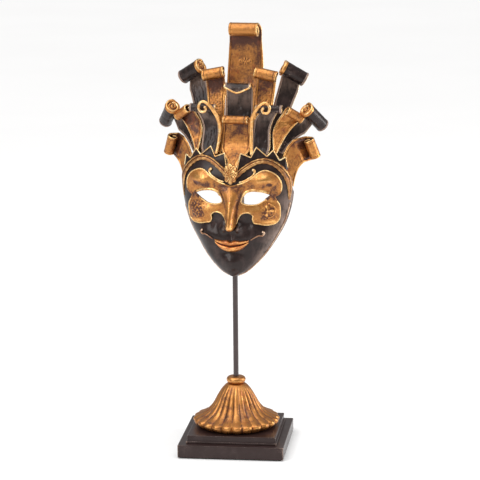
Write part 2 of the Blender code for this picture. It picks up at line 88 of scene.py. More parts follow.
FACE_HALF = [(213, 4.5), (218, 14.9), (225, 23.8), (235, 33.5), (246, 41.6), (258, 49.2), (270, 56.1),
             (282, 61.2), (294, 64.8), (306, 67.2), (318, 68.3), (331, 68.6), (345, 68.0), (356, 67.0)]
FACE_RIM = [(213, -4.7), (218, -1.8), (225, 2.0), (235, 5.8), (246, 9.8), (258, 12.7), (270, 15.3),
            (282, 17.8), (294, 18.7), (318, 19.6), (331, 18.6), (356, 16.0)]
FACE_MID = [(205, -8), (213, -12), (222, -15.5), (235, -16.5), (248, -15.5), (262, -15), (280, -14),
            (310, -14), (331, -13), (345, -9.5), (356, -7)]
BROW_TOP = [(0, 332.5), (6.2, 337.5), (12.7, 343.3), (20.6, 348.8), (29.1, 353), (37.7, 354.2),
            (46.4, 352.0), (54.5, 346.5), (60.7, 338.7), (65.5, 330), (68.0, 318), (68.6, 312)]
EYE = [(12.2, 303.6), (12.4, 307.4), (14.8, 312.2), (18.2, 316), (24.5, 317.8), (31, 317.6), (38.6, 316.4),
       (46.2, 312.8), (42.6, 308.6), (36, 304.4), (30, 301.4), (22.5, 300.6), (16.2, 301.4)]
HALF_MASK = [(2.5, 323.7), (6.7, 325), (13.4, 326.7), (20, 330), (26, 333.7), (30, 337.5), (35, 340.7),
             (41, 341.5), (47.8, 339.2), (53, 335.3), (56.8, 329), (58, 322.5), (57.2, 316.5),
             (54.4, 312.4), (50.6, 310.2), (52.2, 305.6), (55.4, 300), (56.0, 292), (55, 283.5),
             (51, 278), (45, 276.6), (39, 276.6), (33, 277.8), (27, 279), (25, 283.5), (25.5, 287.5),
             (22, 290.6), (17, 291.2), (11.4, 289), (7.8, 283.5), (6.4, 278), (4.8, 272.8), (1.5, 269.6)]
FOOT = [(44.0, 26.2, 0.8), (50.2, 29.8, 2.2), (52.4, 33.0, 3.0), (51.4, 36.0, 3.0), (47.0, 38.2, 2.6),
        (41.0, 40.8, 2.3), (35.0, 44.8, 2.0), (30.8, 49.4, 1.7), (27.4, 54.4, 1.4), (24.8, 59.2, 1.2),
        (22.2, 64.0, 1.0), (18.8, 69.4, 0.7), (15.4, 73.8, 0.4), (12.4, 76.8, 0.0), (10.2, 78.0, 0.0)]
CROWN = [("crest_ribbon", "gold",
          [(-11, 9.0, 352, 11, 9.0, 352), (-15, 20, 366, 15, 20, 366), (-18.5, 32, 388, 18.5, 32, 388),
           (-21.2, 48, 415, 21.2, 48, 415), (-22.2, 58.5, 440, 22.2, 58.5, 440),
           (-21.3, 62.6, 466, 21.3, 62.6, 466), (-19.8, 62.6, 488, 19.8, 62.6, 488)],
          (0, 53.2, 500.6), (1, 0, 0), 17.6, 9.2, 1.3, 4.0, 16.2),
         ("centre_black_ribbon", "black",
          [(-9, 3.4, 350, 9, 3.4, 350), (-12, 12.2, 362, 12, 12.2, 362), (-15.5, 22, 382, 15.5, 22, 382),
           (-16.6, 28.5, 403, 16.6, 28.5, 403), (-16.4, 31, 420, 16.4, 31, 420)],
          (0, 23.8, 432.5), (1, 0, 0), 15.6, 7.4, 0.58, 0.0, 15.6),
         ("centre_gold_ribbon", "gold",
          [(-4.2, -17.0, 338, 4.2, -17.0, 338), (-5.4, -11.6, 345, 5.4, -11.6, 345),
           (-6.8, -4.0, 352, 6.8, -4.0, 352), (-16.6, 7.0, 362, 16.6, 7.0, 362),
           (-17.8, 12.4, 372, 17.8, 12.4, 372), (-16.8, 14.2, 386, 16.8, 14.2, 386)],
          (0, 8.4, 397.8), (1, 0, 0), 14.8, 5.6, 1.2, 3.0, 14.2)]
FAN = [("inner_gold_ribbon", "gold",
        [(18.0, 8.5, 357, 29, 9.5, 356), (18.2, 17, 374, 33.5, 18, 374), (18.4, 26, 395, 37.5, 27, 395),
         (18.8, 31.5, 412, 39.8, 32.5, 412), (18.6, 35.4, 430, 41.6, 36.4, 430)],
        (32.2, 29.8, 449.6), (0.975, -0.03, -0.19), 13.2, 7.9, 1.25, 3.8, 12.4),
       ("outer_black_ribbon", "black",
        [(32, 15.5, 360, 44, 18.5, 359), (35.5, 24, 377, 51, 28, 375), (37.8, 33, 395, 55.5, 37, 394),
         (40, 40, 415, 61, 43.5, 412), (43.4, 45.4, 431, 67, 50, 429)],
        (62.8, 45.4, 450.2), (0.80, 0.27, -0.50), 15.8, 9.0, 1.25, 4.2, 14.8),
       ("black_panel_ribbon", "black",
        [(23.5, 1.0, 358, 39.5, 3.5, 358), (20.6, 5.4, 366, 41.6, 7.5, 366),
         (20.2, 9.6, 377, 41.2, 11.2, 377), (20.6, 12.3, 388, 40.8, 14.2, 388),
         (22.2, 13.4, 398, 43.8, 15.6, 398)],
        (40.4, 9.7, 411.2), (1.0, 0.04, 0.02), 16.0, 5.6, 1.2, 3.2, 15.4),
       ("leaf_gold_ribbon", "gold",
        [(46.6, 7.6, 360, 49.6, 8.2, 359.5), (45.6, 11, 367, 52.0, 12.0, 366),
         (44.2, 15, 376, 57.2, 17.8, 377), (44.0, 19, 386, 63.6, 23.0, 387),
         (47.8, 23.0, 396, 69.8, 28.2, 394)],
        (68.4, 22.0, 403.4), (0.74, 0.42, -0.52), 10.8, 6.6, 1.2, 3.6, 10.2),
       ("lower_black_ribbon", "black",
        [(50.0, 16.8, 361, 54.5, 17.2, 357.5), (51.5, 21.0, 372, 60.5, 23.0, 366),
         (55.0, 26.6, 384, 68.6, 30.0, 374.5), (63.5, 34.0, 396, 78.6, 37.6, 381)],
        (89.6, 36.8, 399.4), (0.43, 0.62, -0.65), 17.8, 8.6, 1.2, 4.4, 16.8),
       ("low_gold_ribbon", "gold",
        [(54.0, 13.6, 349, 67.3, 20.4, 318), (57.0, 16.0, 358, 69.6, 22.2, 331),
         (61.0, 18.8, 367, 73.4, 24.8, 341), (67.4, 23.0, 374.5, 78.6, 29.0, 347)],
        (86.6, 34.0, 362.4), (0.30, 0.24, -0.92), 12.0, 8.0, 1.2, 4.2, 10.8)]
TONGUES = {"centre_black_ribbon": 6.4}
# Painted shade for some ribbons: how much darker each is just under its roll, and how much darker (+) or
# lighter (-) it is all over; the all-over terms make left and right copies differ as if lit from one side.
SHADES = {"leaf_gold_ribbon_L": (0.5, 0.22), "leaf_gold_ribbon_R": (0.15, -0.12),
          "inner_gold_ribbon_R": (0.45, -0.02), "low_gold_ribbon_R": (0.55, -0.08),
          "centre_gold_ribbon": (0.42, -0.06)}
GILDED_ENDS = ("outer_black_ribbon", "lower_black_ribbon")
BRIGHT_EDGES = ("leaf_gold_ribbon", "centre_gold_ribbon", "centre_black_ribbon")
VOLUTE = [(21.6, -2.6, 358), (20.2, 4.2, 370), (19.2, 8.0, 382), (19.4, 8.4, 392), (21.2, 4.8, 401.5),
          (25.8, 2.0, 410.5), (31.4, 1.3, 417.4), (37.4, 1.4, 420.6), (41.8, 1.2, 418.3),
          (43.2, 1.1, 413), (40.4, 1.1, 408.6), (35.8, 1.1, 408.8), (34.2, 1.1, 412.6), (37.0, 1.1, 414.8)]
BROW = [(0, 330.4), (6.0, 335.4), (12.9, 341.6), (20.9, 347.2), (29.2, 351.2), (37.6, 352.6),
        (45.8, 350.8), (54.0, 345.6), (60.8, 337.6), (64.5, 328.8), (65.6, 318), (65.0, 304.5)]
TEETH = [(0, 336.2, -12.4), (6.2, 340.8, -11.8), (7.8, 350.0, -9.6), (9.8, 361.0, -7.5),
         (21.8, 356.2, -5.5), (27.8, 368.2, -2.0), (40.5, 357.4, -1.5), (47.2, 364.6, 2.8),
         (54.6, 352.4, 3.2), (61.0, 356.0, 8.0), (63.4, 343.0, 9.0)]
BROW_LINE = [(9.0, 327.8), (14.5, 329.0), (20.4, 332.2), (25.2, 335.4), (27.6, 339.0), (26.6, 342.0),
             (24.2, 341.6)]
CHEEK_LINE = [(23.0, 258.6), (28.0, 261.6), (32.6, 264.0), (37.0, 264.0), (38.8, 267.0), (36.2, 268.8)]


# ------------------------------------------------------------------ curves and tables

def smooth_path(points, steps):
    """Points of a Catmull-Rom curve through the given ones, any number of values each."""
    rows = np.array(points, float)
    padded = np.vstack([rows[:1], rows, rows[-1:]])
    t = np.arange(steps)[:, None] / steps
    out = []
    for a, b, c, d in zip(padded, padded[1:], padded[2:], padded[3:]):
        out.append(0.5 * (2 * b + (c - a) * t + (2 * a - 5 * b + 4 * c - d) * t * t
                          + (3 * b - a - 3 * c + d) * t ** 3))
    return np.vstack(out + [rows[-1:]])


def spaced(rows, step, width=3):
    """The same curve with its points an even step apart; width is how many values are its place."""
    gaps = np.linalg.norm(np.diff(rows[:, :width], axis=0), axis=1)
    along = np.concatenate([[0.0], np.cumsum(gaps)])
    count = max(3, int(round(along[-1] / step)) + 1)
    at = np.linspace(0.0, along[-1], count)
    return np.stack([np.interp(at, along, column) for column in rows.T], -1), at


def smooth_table(rows):
    """Keys and values of a table, read as a smooth curve."""
    dense = smooth_path(rows, 10)
    return dense[:, 0], dense[:, 1]


HALF_CURVE, RIM_CURVE, MID_CURVE = (smooth_table(rows) for rows in (FACE_HALF, FACE_RIM, FACE_MID))
TOP_CURVE = smooth_table(BROW_TOP)


def mound(x, z, at_x, at_z, wide, tall, high):
    """A soft hump, the same on both cheeks."""
    return high * np.exp(-((np.abs(x) - at_x) / wide) ** 2 - ((z - at_z) / tall) ** 2)


def sculpt(x, z):
    """How far the modelled features stand in front of the plain face."""
    return (mound(x, z, 8.6, 272.0, 4.6, 4.6, 6.5) + mound(x, z, 0, 259.0, 22, 12, 4.6)
            - mound(x, z, 0, 263.5, 2.4, 4.5, 2.2) + mound(x, z, 35, 263.0, 13, 12, 3.6)
            + mound(x, z, 0, 230.5, 11, 9.0, 4.4) - mound(x, z, 0, 242.5, 18, 4.0, 0.5)
            - mound(x, z, 29, 305.0, 19, 9.0, 3.0) + mound(x, z, 38, 330.0, 13, 7.5, 4.6)
            + mound(x, z, 44, 290.0, 9, 9, 2.6) - mound(x, z, 20, 278.0, 5, 7, 2.4))


def face_y(x, z):
    """Depth of the plain face at a point seen from the front."""
    s = np.minimum(np.abs(x) / np.interp(z, *HALF_CURVE), 1.0)
    mid, rim = np.interp(z, *MID_CURVE), np.interp(z, *RIM_CURVE)
    return mid + (rim - mid) * (1.0 - np.sqrt(1.0 - s * s))


def laid_y(x, z, dist):
    """Depth of a point standing the given distance off the modelled face."""
    slope_x = face_y(x + 0.5, z) - face_y(x - 0.5, z)
    slope_z = face_y(x, z + 0.5) - face_y(x, z - 0.5)
    lean = np.minimum(3.0, np.sqrt(1.0 + slope_x ** 2 + slope_z ** 2))
    return face_y(x, z) - sculpt(x, z) - dist * lean


def nose_rise(x, z):
    """How far the nose stands in front of the half mask."""
    wide = np.interp(z, [262, 269.0, 271, 274, 280, 288, 300, 314, 322],
                     [1, 1, 4.8, 5.6, 5.9, 6.3, 7.6, 12, 16])
    high = np.interp(z, [262, 269.0, 269.8, 271.3, 273.8, 277, 288, 300, 312, 322],
                     [0, 0, 7.5, 12.0, 15.4, 16.8, 13.8, 9.4, 4.8, 0.5])
    s = np.minimum(np.abs(x) / wide, 1.0)
    return high * (1.0 - s * s) ** 0.62


def grain(points, scale, octaves=3):
    """Layered noise at each point, about -1 to 1; scale is bumps per millimetre."""
    return np.array([noise.fractal(Vector(p) * scale, 1.0, 2.0, octaves) for p in points])


# ------------------------------------------------------------------ meshes

def turn_to_mask(points):
    """From millimetres in the mask's frame to metres in the part's frame."""
    p = np.asarray(points, float) * MM
    c, s = cos(MASK_TURN), sin(MASK_TURN)
    return np.stack([p[..., 0] * c - p[..., 1] * s, p[..., 0] * s + p[..., 1] * c, p[..., 2]], -1)


def clear_selection():
    if bpy.context.object and bpy.context.object.mode != "OBJECT":
        bpy.ops.object.mode_set(mode="OBJECT")
    bpy.ops.object.select_all(action="DESELECT")


def make_active(obj):
    clear_selection()
    obj.select_set(True)
    bpy.context.view_layer.objects.active = obj


def editing(obj, kind="VERT"):
    """Go into edit mode with everything selected."""
    make_active(obj)
    bpy.ops.object.mode_set(mode="EDIT")
    bpy.ops.mesh.select_mode(type=kind)
    bpy.ops.mesh.select_all(action="SELECT")


def settle(obj, merge=0.0):
    """Merge doubles if asked, turn the faces outwards and leave edit mode."""
    editing(obj)
    if merge:
        bpy.ops.mesh.remove_doubles(threshold=merge)
    bpy.ops.mesh.normals_make_consistent(inside=False)
    bpy.ops.object.mode_set(mode="OBJECT")
    return obj


def mesh_object(name, points, faces, uv=None, soiling_and_painted_light=None):
    """A new object from points in the part's frame; uv and soiling_and_painted_light are one value per point.
    """
    mesh = bpy.data.meshes.new(name)
    mesh.from_pydata([tuple(p) for p in points], [], faces)
    if uv is not None:
        layer = mesh.uv_layers.new(name="UVMap")
        corners = np.empty(len(mesh.loops), int)
        mesh.loops.foreach_get("vertex_index", corners)
        layer.data.foreach_set("uv", np.asarray(uv, np.float32)[corners].ravel())
    if soiling_and_painted_light is not None:
        attribute = mesh.attributes.new("soiling_and_painted_light", "FLOAT", "POINT")
        attribute.data.foreach_set("value", np.clip(soiling_and_painted_light, -1, 1).astype(np.float32))
    obj = bpy.data.objects.new(name, mesh)
    bpy.context.collection.objects.link(obj)
    return obj


def sheet_faces(rows, cols):
    """Faces of a front and a back grid of points, closed all round."""
    size = rows * cols
    quads = []
    for i in range(rows - 1):
        for j in range(cols - 1):
            a, b, c, d = i * cols + j, i * cols + j + 1, (i + 1) * cols + j + 1, (i + 1) * cols + j
            quads.append((a, b, c, d))
            quads.append((size + d, size + c, size + b, size + a))
        for j, flip in ((0, False), (cols - 1, True)):
            a, b = i * cols + j, (i + 1) * cols + j
            side = (a, b, size + b, size + a)
            quads.append(side[::-1] if flip else side)
    for i, flip in ((0, True), (rows - 1, False)):
        for j in range(cols - 1):
            a, b = i * cols + j, i * cols + j + 1
            end = (a, b, size + b, size + a)
            quads.append(end[::-1] if flip else end)
    return quads


def sheet(name, front, back, uv=None, soiling_and_painted_light=None):
    """A closed sheet between two grids of points in the mask's frame."""
    rows, cols = front.shape[:2]
    points = turn_to_mask(np.concatenate([front.reshape(-1, 3), back.reshape(-1, 3)]))
    return settle(mesh_object(name, points, sheet_faces(rows, cols), uv, soiling_and_painted_light))


def ring_faces(rows, cols):
    """Faces of a row of closed rings with a cap at each end."""
    quads = [tuple(range(cols)), tuple(range((rows - 1) * cols, rows * cols))]
    for i in range(rows - 1):
        for j in range(cols):
            k = (j + 1) % cols
            quads.append((i * cols + j, i * cols + k, (i + 1) * cols + k, (i + 1) * cols + j))
    return quads


def tube_points(path, radii, sides):
    """Rings of points round a path."""
    side = Vector((0, 1, 0))
    rings = []
    count = len(path)
    for i, p in enumerate(path):
        ahead = Vector(path[min(i + 1, count - 1)] - path[max(i - 1, 0)]).normalized()
        side = (side - ahead * side.dot(ahead)).normalized()
        up = ahead.cross(side)
        rings.append([Vector(p) + side * (radii[i] * cos(a)) + up * (radii[i] * sin(a))
                      for a in (2 * pi * j / sides for j in range(sides))])
    return np.array(rings)


def cord(name, path, radius, sides=10, ends=1.4, soiling_and_painted_light=lambda f: 0.0):
    """A round cord with rounded ends along a path in the mask's frame.

    The radius is a number or a function of the share of the length; soiling_and_painted_light is such a
    function too.
    """
    rows, along = spaced(np.asarray(path, float), 0.7)
    share = along / along[-1]
    radii = np.array([radius(f) for f in share]) if callable(radius) else np.full(len(share), float(radius))
    away = np.minimum(along, along[-1] - along)
    radii = radii * np.sqrt(np.clip(1 - (1 - np.minimum(away / ends, 1)) ** 2, 0.04, 1))
    rings = tube_points(rows, radii, sides)
    uv = np.stack([np.tile(np.arange(sides), len(rows)) * 0.6, np.repeat(along, sides)], -1)
    dirt_and_shade = np.repeat([soiling_and_painted_light(f) for f in share], sides)
    points = turn_to_mask(rings.reshape(-1, 3))
    return settle(mesh_object(name, points, ring_faces(len(rows), sides), uv, dirt_and_shade))


def joined(name, parts):
    """Several objects made one."""
    make_active(parts[0])
    for part in parts[1:]:
        part.select_set(True)
    bpy.ops.object.join()
    parts[0].name = parts[0].data.name = name
    return parts[0]


def applied(obj, kind, **values):
    """Add a modifier and apply it."""
    make_active(obj)
    modifier = obj.modifiers.new(kind.title(), kind)
    for key, value in values.items():
        setattr(modifier, key, value)
    bpy.ops.object.modifier_apply(modifier=modifier.name)


def cut(obj, tool, how="DIFFERENCE"):
    """Boolean with a tool that is then thrown away."""
    applied(obj, "BOOLEAN", operation=how, solver="EXACT", object=tool)
    bpy.data.objects.remove(tool, do_unlink=True)
    drop_flaps(obj)


def drop_flaps(obj):
    """Take out slivers that a cut leaves lying back to back on the same three corners."""
    bm = bmesh.new()
    bm.from_mesh(obj.data)
    bmesh.ops.triangulate(bm, faces=[face for face in bm.faces if len(face.verts) > 3])
    alike = {}
    for face in bm.faces:
        alike.setdefault(frozenset(vert.index for vert in face.verts), []).append(face)
    flaps = [face for faces in alike.values() if len(faces) == 2 for face in faces]
    bmesh.ops.delete(bm, geom=flaps, context="FACES")
    bm.to_mesh(obj.data)
    bm.free()


def prism(name, outline, front, back):
    """A plate with the given outline standing across Y in the mask's frame."""
    count = len(outline)
    points = [(x, y, z) for y in (front, back) for x, z in outline]
    faces = [tuple(range(count)), tuple(range(count, 2 * count))]
    faces += [(j, (j + 1) % count, count + (j + 1) % count, count + j) for j in range(count)]
    return settle(mesh_object(name, turn_to_mask(points), faces))


def closed_curve(points, steps):
    """A smooth closed outline through the given points."""
    rows = smooth_path(list(points[-2:]) + list(points) + list(points[:2]), steps)
    return rows[2 * steps:-2 * steps + steps - 1][:len(points) * steps]


def grown(points, by):
    """An outline moved outwards from its middle."""
    rows = np.asarray(points, float)
    away = rows - rows.mean(0)
    return rows + away / np.linalg.norm(away, axis=1)[:, None] * by


def turned(name, profile, steps, solid=False):
    """Extrude a circle along a closed (radius, height) profile given in millimetres."""
    clear_selection()
    radius, height = profile[0]
    bpy.ops.mesh.primitive_circle_add(vertices=steps, radius=radius * MM, location=(0, 0, height * MM),
                                      fill_type="NGON" if solid else "NOTHING")
    obj = bpy.context.object
    obj.name = obj.data.name = name
    bpy.ops.object.transform_apply()
    editing(obj)
    rest = list(profile[1:]) if solid else list(profile[1:]) + [profile[0]]
    for new_radius, new_height in rest:
        bpy.ops.mesh.extrude_region_move(
            TRANSFORM_OT_translate={"value": (0, 0, (new_height - height) * MM)})
        scale = new_radius / radius
        bpy.ops.transform.resize(value=(scale, scale, 1), center_override=(0, 0, 0))
        radius, height = new_radius, new_height
    return settle(obj, 1e-6)


def block(name, low, high):
    """A box primitive between two corners, in metres."""
    clear_selection()
    low, high = Vector(low), Vector(high)
    bpy.ops.mesh.primitive_cube_add(size=1, location=(low + high) / 2, scale=high - low)
    obj = bpy.context.object
    obj.name = obj.data.name = name
    bpy.ops.object.transform_apply()
    return obj


def pick_edges(obj, wanted):
    """In edit mode, select the edges whose two ends pass a test."""
    bpy.ops.mesh.select_all(action="DESELECT")
    bpy.ops.object.mode_set(mode="OBJECT")
    for edge in obj.data.edges:
        a, b = (obj.data.vertices[i].co for i in edge.vertices)
        edge.select = wanted(a, b)
    bpy.ops.object.mode_set(mode="EDIT")


def score(obj, half, steps):
    """Cut extra rows of edges round a square block, a little in from its sides."""
    for axis in (Vector((1, 0, 0)), Vector((0, 1, 0))):
        for inset in steps:
            for sign in (-1, 1):
                editing(obj)
                bpy.ops.mesh.bisect(plane_co=axis * sign * (half - inset * MM), plane_no=axis)
    bpy.ops.object.mode_set(mode="OBJECT")


def bore(radius, low, high):
    """A round cutting tool on the stand's axis, in millimetres."""
    clear_selection()
    bpy.ops.mesh.primitive_cylinder_add(vertices=48, radius=radius * MM, depth=(high - low) * MM,
                                        location=(0, 0, (low + high) / 2 * MM))
    bpy.ops.object.transform_apply()
    return bpy.context.object


def mark_relief(obj, reach=1.0, rounds=2):
    """Store how sharply the surface bends out (+) or in (-) at each vertex, for wear and for the gold's
    darker hollows.
    """
    mesh = obj.data
    count = len(mesh.vertices)
    place, out = np.empty(count * 3), np.empty(count * 3)
    mesh.vertices.foreach_get("co", place)
    mesh.vertices.foreach_get("normal", out)
    place, out = place.reshape(-1, 3) / MM, out.reshape(-1, 3)
    ends = np.empty(len(mesh.edges) * 2, int)
    mesh.edges.foreach_get("vertices", ends)
    a, b = ends.reshape(-1, 2).T
    step = place[b] - place[a]
    square = np.maximum((step ** 2).sum(1), 1e-3)
    bend, number = np.zeros(count), np.zeros(count)
    np.add.at(bend, a, -2 * (step * out[a]).sum(1) / square)
    np.add.at(bend, b, 2 * (step * out[b]).sum(1) / square)
    np.add.at(number, a, 1)
    np.add.at(number, b, 1)
    number = np.maximum(number, 1)
    bend = np.clip(bend / number * reach, -1, 1)
    for _ in range(rounds):
        total = np.zeros(count)
        np.add.at(total, a, bend[b])
        np.add.at(total, b, bend[a])
        bend = 0.5 * bend + 0.5 * total / number
    attribute = mesh.attributes.get("relief") or mesh.attributes.new("relief", "FLOAT", "POINT")
    attribute.data.foreach_set("value", bend.astype(np.float32))


def finish_piece(obj, body, material, nodes=(), angle=40.0, reach=1.0, rounds=2):
    """Shade, mark, paint and place one piece in the frame."""
    make_active(obj)
    bpy.ops.object.shade_smooth_by_angle(angle=radians(angle))
    mark_relief(obj, reach, rounds)
    obj.data.materials.clear()
    obj.data.materials.append(material)
    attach(obj, body)
    if nodes:
        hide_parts(*nodes)
    return obj


# ------------------------------------------------------------------ shader nodes

def feed(tree, socket, value):
    """Link a socket, or set its value."""
    if isinstance(value, bpy.types.NodeSocket):
        tree.links.new(value, socket)
    elif value is not None:
        if hasattr(socket.default_value, "__len__") and len(value) == 3 and len(socket.default_value) == 4:
            value = (*value, 1.0)
        socket.default_value = value


def add_node(tree, kind, named=None, **settings):
    node = tree.nodes.new(kind)
    for key, value in settings.items():
        setattr(node, key, value)
    for key, value in (named or {}).items():
        feed(tree, node.inputs[key], value)
    return node


def maths(tree, operation, a, b=0.0, clamp=False):
    node = add_node(tree, "ShaderNodeMath", operation=operation, use_clamp=clamp)
    feed(tree, node.inputs[0], a)
    feed(tree, node.inputs[1], b)
    return node.outputs[0]


def plus(tree, *terms, clamp=False):
    """Sum of (value, weight) pairs and plain numbers."""
    total = None
    for term in terms:
        value = maths(tree, "MULTIPLY", *term) if isinstance(term, tuple) else term
        total = value if total is None else maths(tree, "ADD", total, value, clamp)
    return total


def span(tree, value, low, high, to_low=0.0, to_high=1.0):
    """Smooth step from one level to another."""
    node = add_node(tree, "ShaderNodeMapRange", {"Value": value, "From Min": low, "From Max": high,
                    "To Min": to_low, "To Max": to_high}, interpolation_type="SMOOTHSTEP")
    return node.outputs["Result"]


def blend_colour(tree, factor, a, b, mode="MIX"):
    node = add_node(tree, "ShaderNodeMix", data_type="RGBA", blend_type=mode)
    feed(tree, node.inputs[0], factor)
    feed(tree, node.inputs[6], a)
    feed(tree, node.inputs[7], b)
    return node.outputs[2]


def noise_value(tree, vector, scale, detail=4.0, rough=0.55, distortion=0.0):
    node = add_node(tree, "ShaderNodeTexNoise", {"Vector": vector, "Scale": scale, "Detail": detail,
                    "Roughness": rough, "Distortion": distortion})
    return node.outputs["Fac"]


def stretched(tree, vector, scale):
    node = add_node(tree, "ShaderNodeMapping", {"Vector": vector})
    feed(tree, node.inputs["Scale"], scale)
    return node.outputs["Vector"]


def new_group(name, inputs, outputs):
    """An empty node group with its named sockets; inputs are (name, type, default)."""
    tree = bpy.data.node_groups.new(name, "ShaderNodeTree")
    for socket, kind, value in inputs:
        item = tree.interface.new_socket(socket, in_out="INPUT", socket_type="NodeSocket" + kind)
        if value is not None:
            item.default_value = value
    for socket, kind in outputs:
        tree.interface.new_socket(socket, in_out="OUTPUT", socket_type="NodeSocket" + kind)
    return tree, tree.nodes.new("NodeGroupInput").outputs, tree.nodes.new("NodeGroupOutput").inputs


def gilding_group():
    """Rubbed gold over a dark ground: bright on what stands out, brown in the hollows."""
    tree, given, out = new_group("Aged Gilding", [
        ("Vector", "Vector", None), ("Relief", "Float", 0.0), ("Soiling and Painted Light", "Float", 0.0),
        ("Patch Scale", "Float", 90.0), ("Tone", "Float", 0.5), ("Mottle", "Float", 1.7),
        ("Dark", "Color", (0.12, 0.035, 0.012, 1)), ("Mid", "Color", (0.62, 0.27, 0.07, 1)),
        ("Light", "Color", (1.0, 0.72, 0.28, 1)), ("Ground", "Color", (0.30, 0.07, 0.02, 1))],
        [("Color", "Color"), ("Roughness", "Float"), ("Metallic", "Float"), ("Height", "Float")])
    place, scale = given["Vector"], given["Patch Scale"]
    patches = noise_value(tree, place, scale, 5.0, 0.62, 0.6)
    specks = noise_value(tree, place, maths(tree, "MULTIPLY", scale, 7.0), 4.0, 0.65)
    fine = noise_value(tree, place, maths(tree, "MULTIPLY", scale, 22.0), 2.0, 0.5)
    hollow = maths(tree, "MINIMUM", given["Relief"], 0.0)
    proud = maths(tree, "MAXIMUM", given["Relief"], 0.0)
    # Marked soiling and painted light darken the gold where positive and brighten it where negative: painted
    # shade and painted highlights on the mask and ribbons.
    tone = plus(tree, given["Tone"], (maths(tree, "SUBTRACT", patches, 0.5), given["Mottle"]), (specks, 0.6),
                -0.30, (proud, 0.55), (hollow, 1.0), (given["Soiling and Painted Light"], -0.8))
    low = blend_colour(tree, span(tree, tone, 0.0, 0.5), given["Dark"], given["Mid"])
    colour = blend_colour(tree, span(tree, tone, 0.5, 1.1), low, given["Light"])
    rubbed = maths(tree, "MULTIPLY", span(tree, noise_value(tree, place, maths(tree, "MULTIPLY", scale, 2.3)),
                                          0.52, 0.72), 0.55)
    feed(tree, out["Color"], blend_colour(tree, rubbed, colour, given["Ground"]))
    feed(tree, out["Roughness"], plus(tree, span(tree, tone, 0.0, 1.0, 0.44, 0.22), (fine, 0.12)))
    feed(tree, out["Metallic"], span(tree, tone, 0.0, 0.6, 0.45, 0.92))
    feed(tree, out["Height"], plus(tree, (specks, 0.7), (fine, 0.3)))
    return tree


def lacquer_group():
    """Old black lacquer: streaked, lighter and browner where marked (soiled, with a painted sheen on the
    jaw), rubbed grey on the edges.
    """
    tree, given, out = new_group("Worn Lacquer", [
        ("Vector", "Vector", None), ("Relief", "Float", 0.0), ("Soiling and Painted Light", "Float", 0.0),
        ("Wear", "Float", 0.5), ("Base", "Color", (0.026, 0.019, 0.022, 1)),
        ("Bloom", "Color", (0.085, 0.066, 0.074, 1)), ("Worn", "Color", (0.34, 0.24, 0.20, 1))],
        [("Color", "Color"), ("Roughness", "Float"), ("Height", "Float")])
    place = given["Vector"]
    cloud = noise_value(tree, place, 70.0, 5.0, 0.6, 0.4)
    streak = noise_value(tree, stretched(tree, place, (1.0, 1.0, 0.22)), 240.0, 4.0, 0.6)
    specks = noise_value(tree, place, 900.0, 3.0, 0.6)
    bloom = span(tree, plus(tree, (cloud, 1.1), (streak, 0.3)), 0.60, 1.0)
    colour = blend_colour(tree, bloom, given["Base"], given["Bloom"])
    # Lighter and browner where marked, in cloudy drifts: soiled on the inside of the mask, a painted sheen
    # down the sides of the jaw, and bands under the black ribbons' rolls.
    drift = span(tree, plus(tree, (streak, 0.5), (cloud, 0.5)), 0.3, 0.6)
    dust_and_sheen = maths(tree, "MULTIPLY", given["Soiling and Painted Light"], drift)
    colour = blend_colour(tree, maths(tree, "MULTIPLY", dust_and_sheen, 0.75, clamp=True), colour, given["Worn"])
    rubbed = span(tree, plus(tree, given["Relief"], (specks, 0.9), (cloud, 0.5), -0.7), 0.24, 0.52)
    worn = maths(tree, "MULTIPLY", rubbed, given["Wear"], clamp=True)
    feed(tree, out["Color"], blend_colour(tree, worn, colour, given["Worn"]))
    feed(tree, out["Roughness"], plus(tree, (cloud, 0.34), (specks, 0.12), 0.14, (worn, 0.15)))
    feed(tree, out["Height"], plus(tree, (streak, 0.35), (specks, 0.3), (cloud, 0.8)))
    return tree


def seams_group():
    """Hair-thin dark joins between squares of laid gold leaf, wandering a little."""
    tree, given, out = new_group("Leaf Joins", [
        ("Vector", "Vector", None), ("Square", "Float", 9.0), ("Strength", "Float", 0.5)],
        [("Mask", "Float")])
    wander = add_node(tree, "ShaderNodeTexNoise", {"Vector": given["Vector"], "Scale": 0.16, "Detail": 3.0})
    moved = add_node(tree, "ShaderNodeVectorMath", operation="MULTIPLY_ADD")
    feed(tree, moved.inputs[0], wander.outputs["Color"])
    moved.inputs[1].default_value = (5.0, 5.0, 0.0)
    feed(tree, moved.inputs[2], given["Vector"])
    parts = add_node(tree, "ShaderNodeSeparateXYZ", {"Vector": moved.outputs[0]})
    lines = []
    for axis in ("X", "Y"):
        share = maths(tree, "DIVIDE", parts.outputs[axis], given["Square"])
        off = maths(tree, "ABSOLUTE", maths(tree, "SUBTRACT", maths(tree, "FRACT", share), 0.5))
        lines.append(span(tree, maths(tree, "MULTIPLY", off, given["Square"]), 0.28, 0.02))
    patchy = span(tree, noise_value(tree, given["Vector"], 0.11, 2.0), 0.42, 0.6)
    line = maths(tree, "MULTIPLY", maths(tree, "MAXIMUM", *lines), patchy)
    feed(tree, out["Mask"], maths(tree, "MULTIPLY", line, given["Strength"]))
    return tree


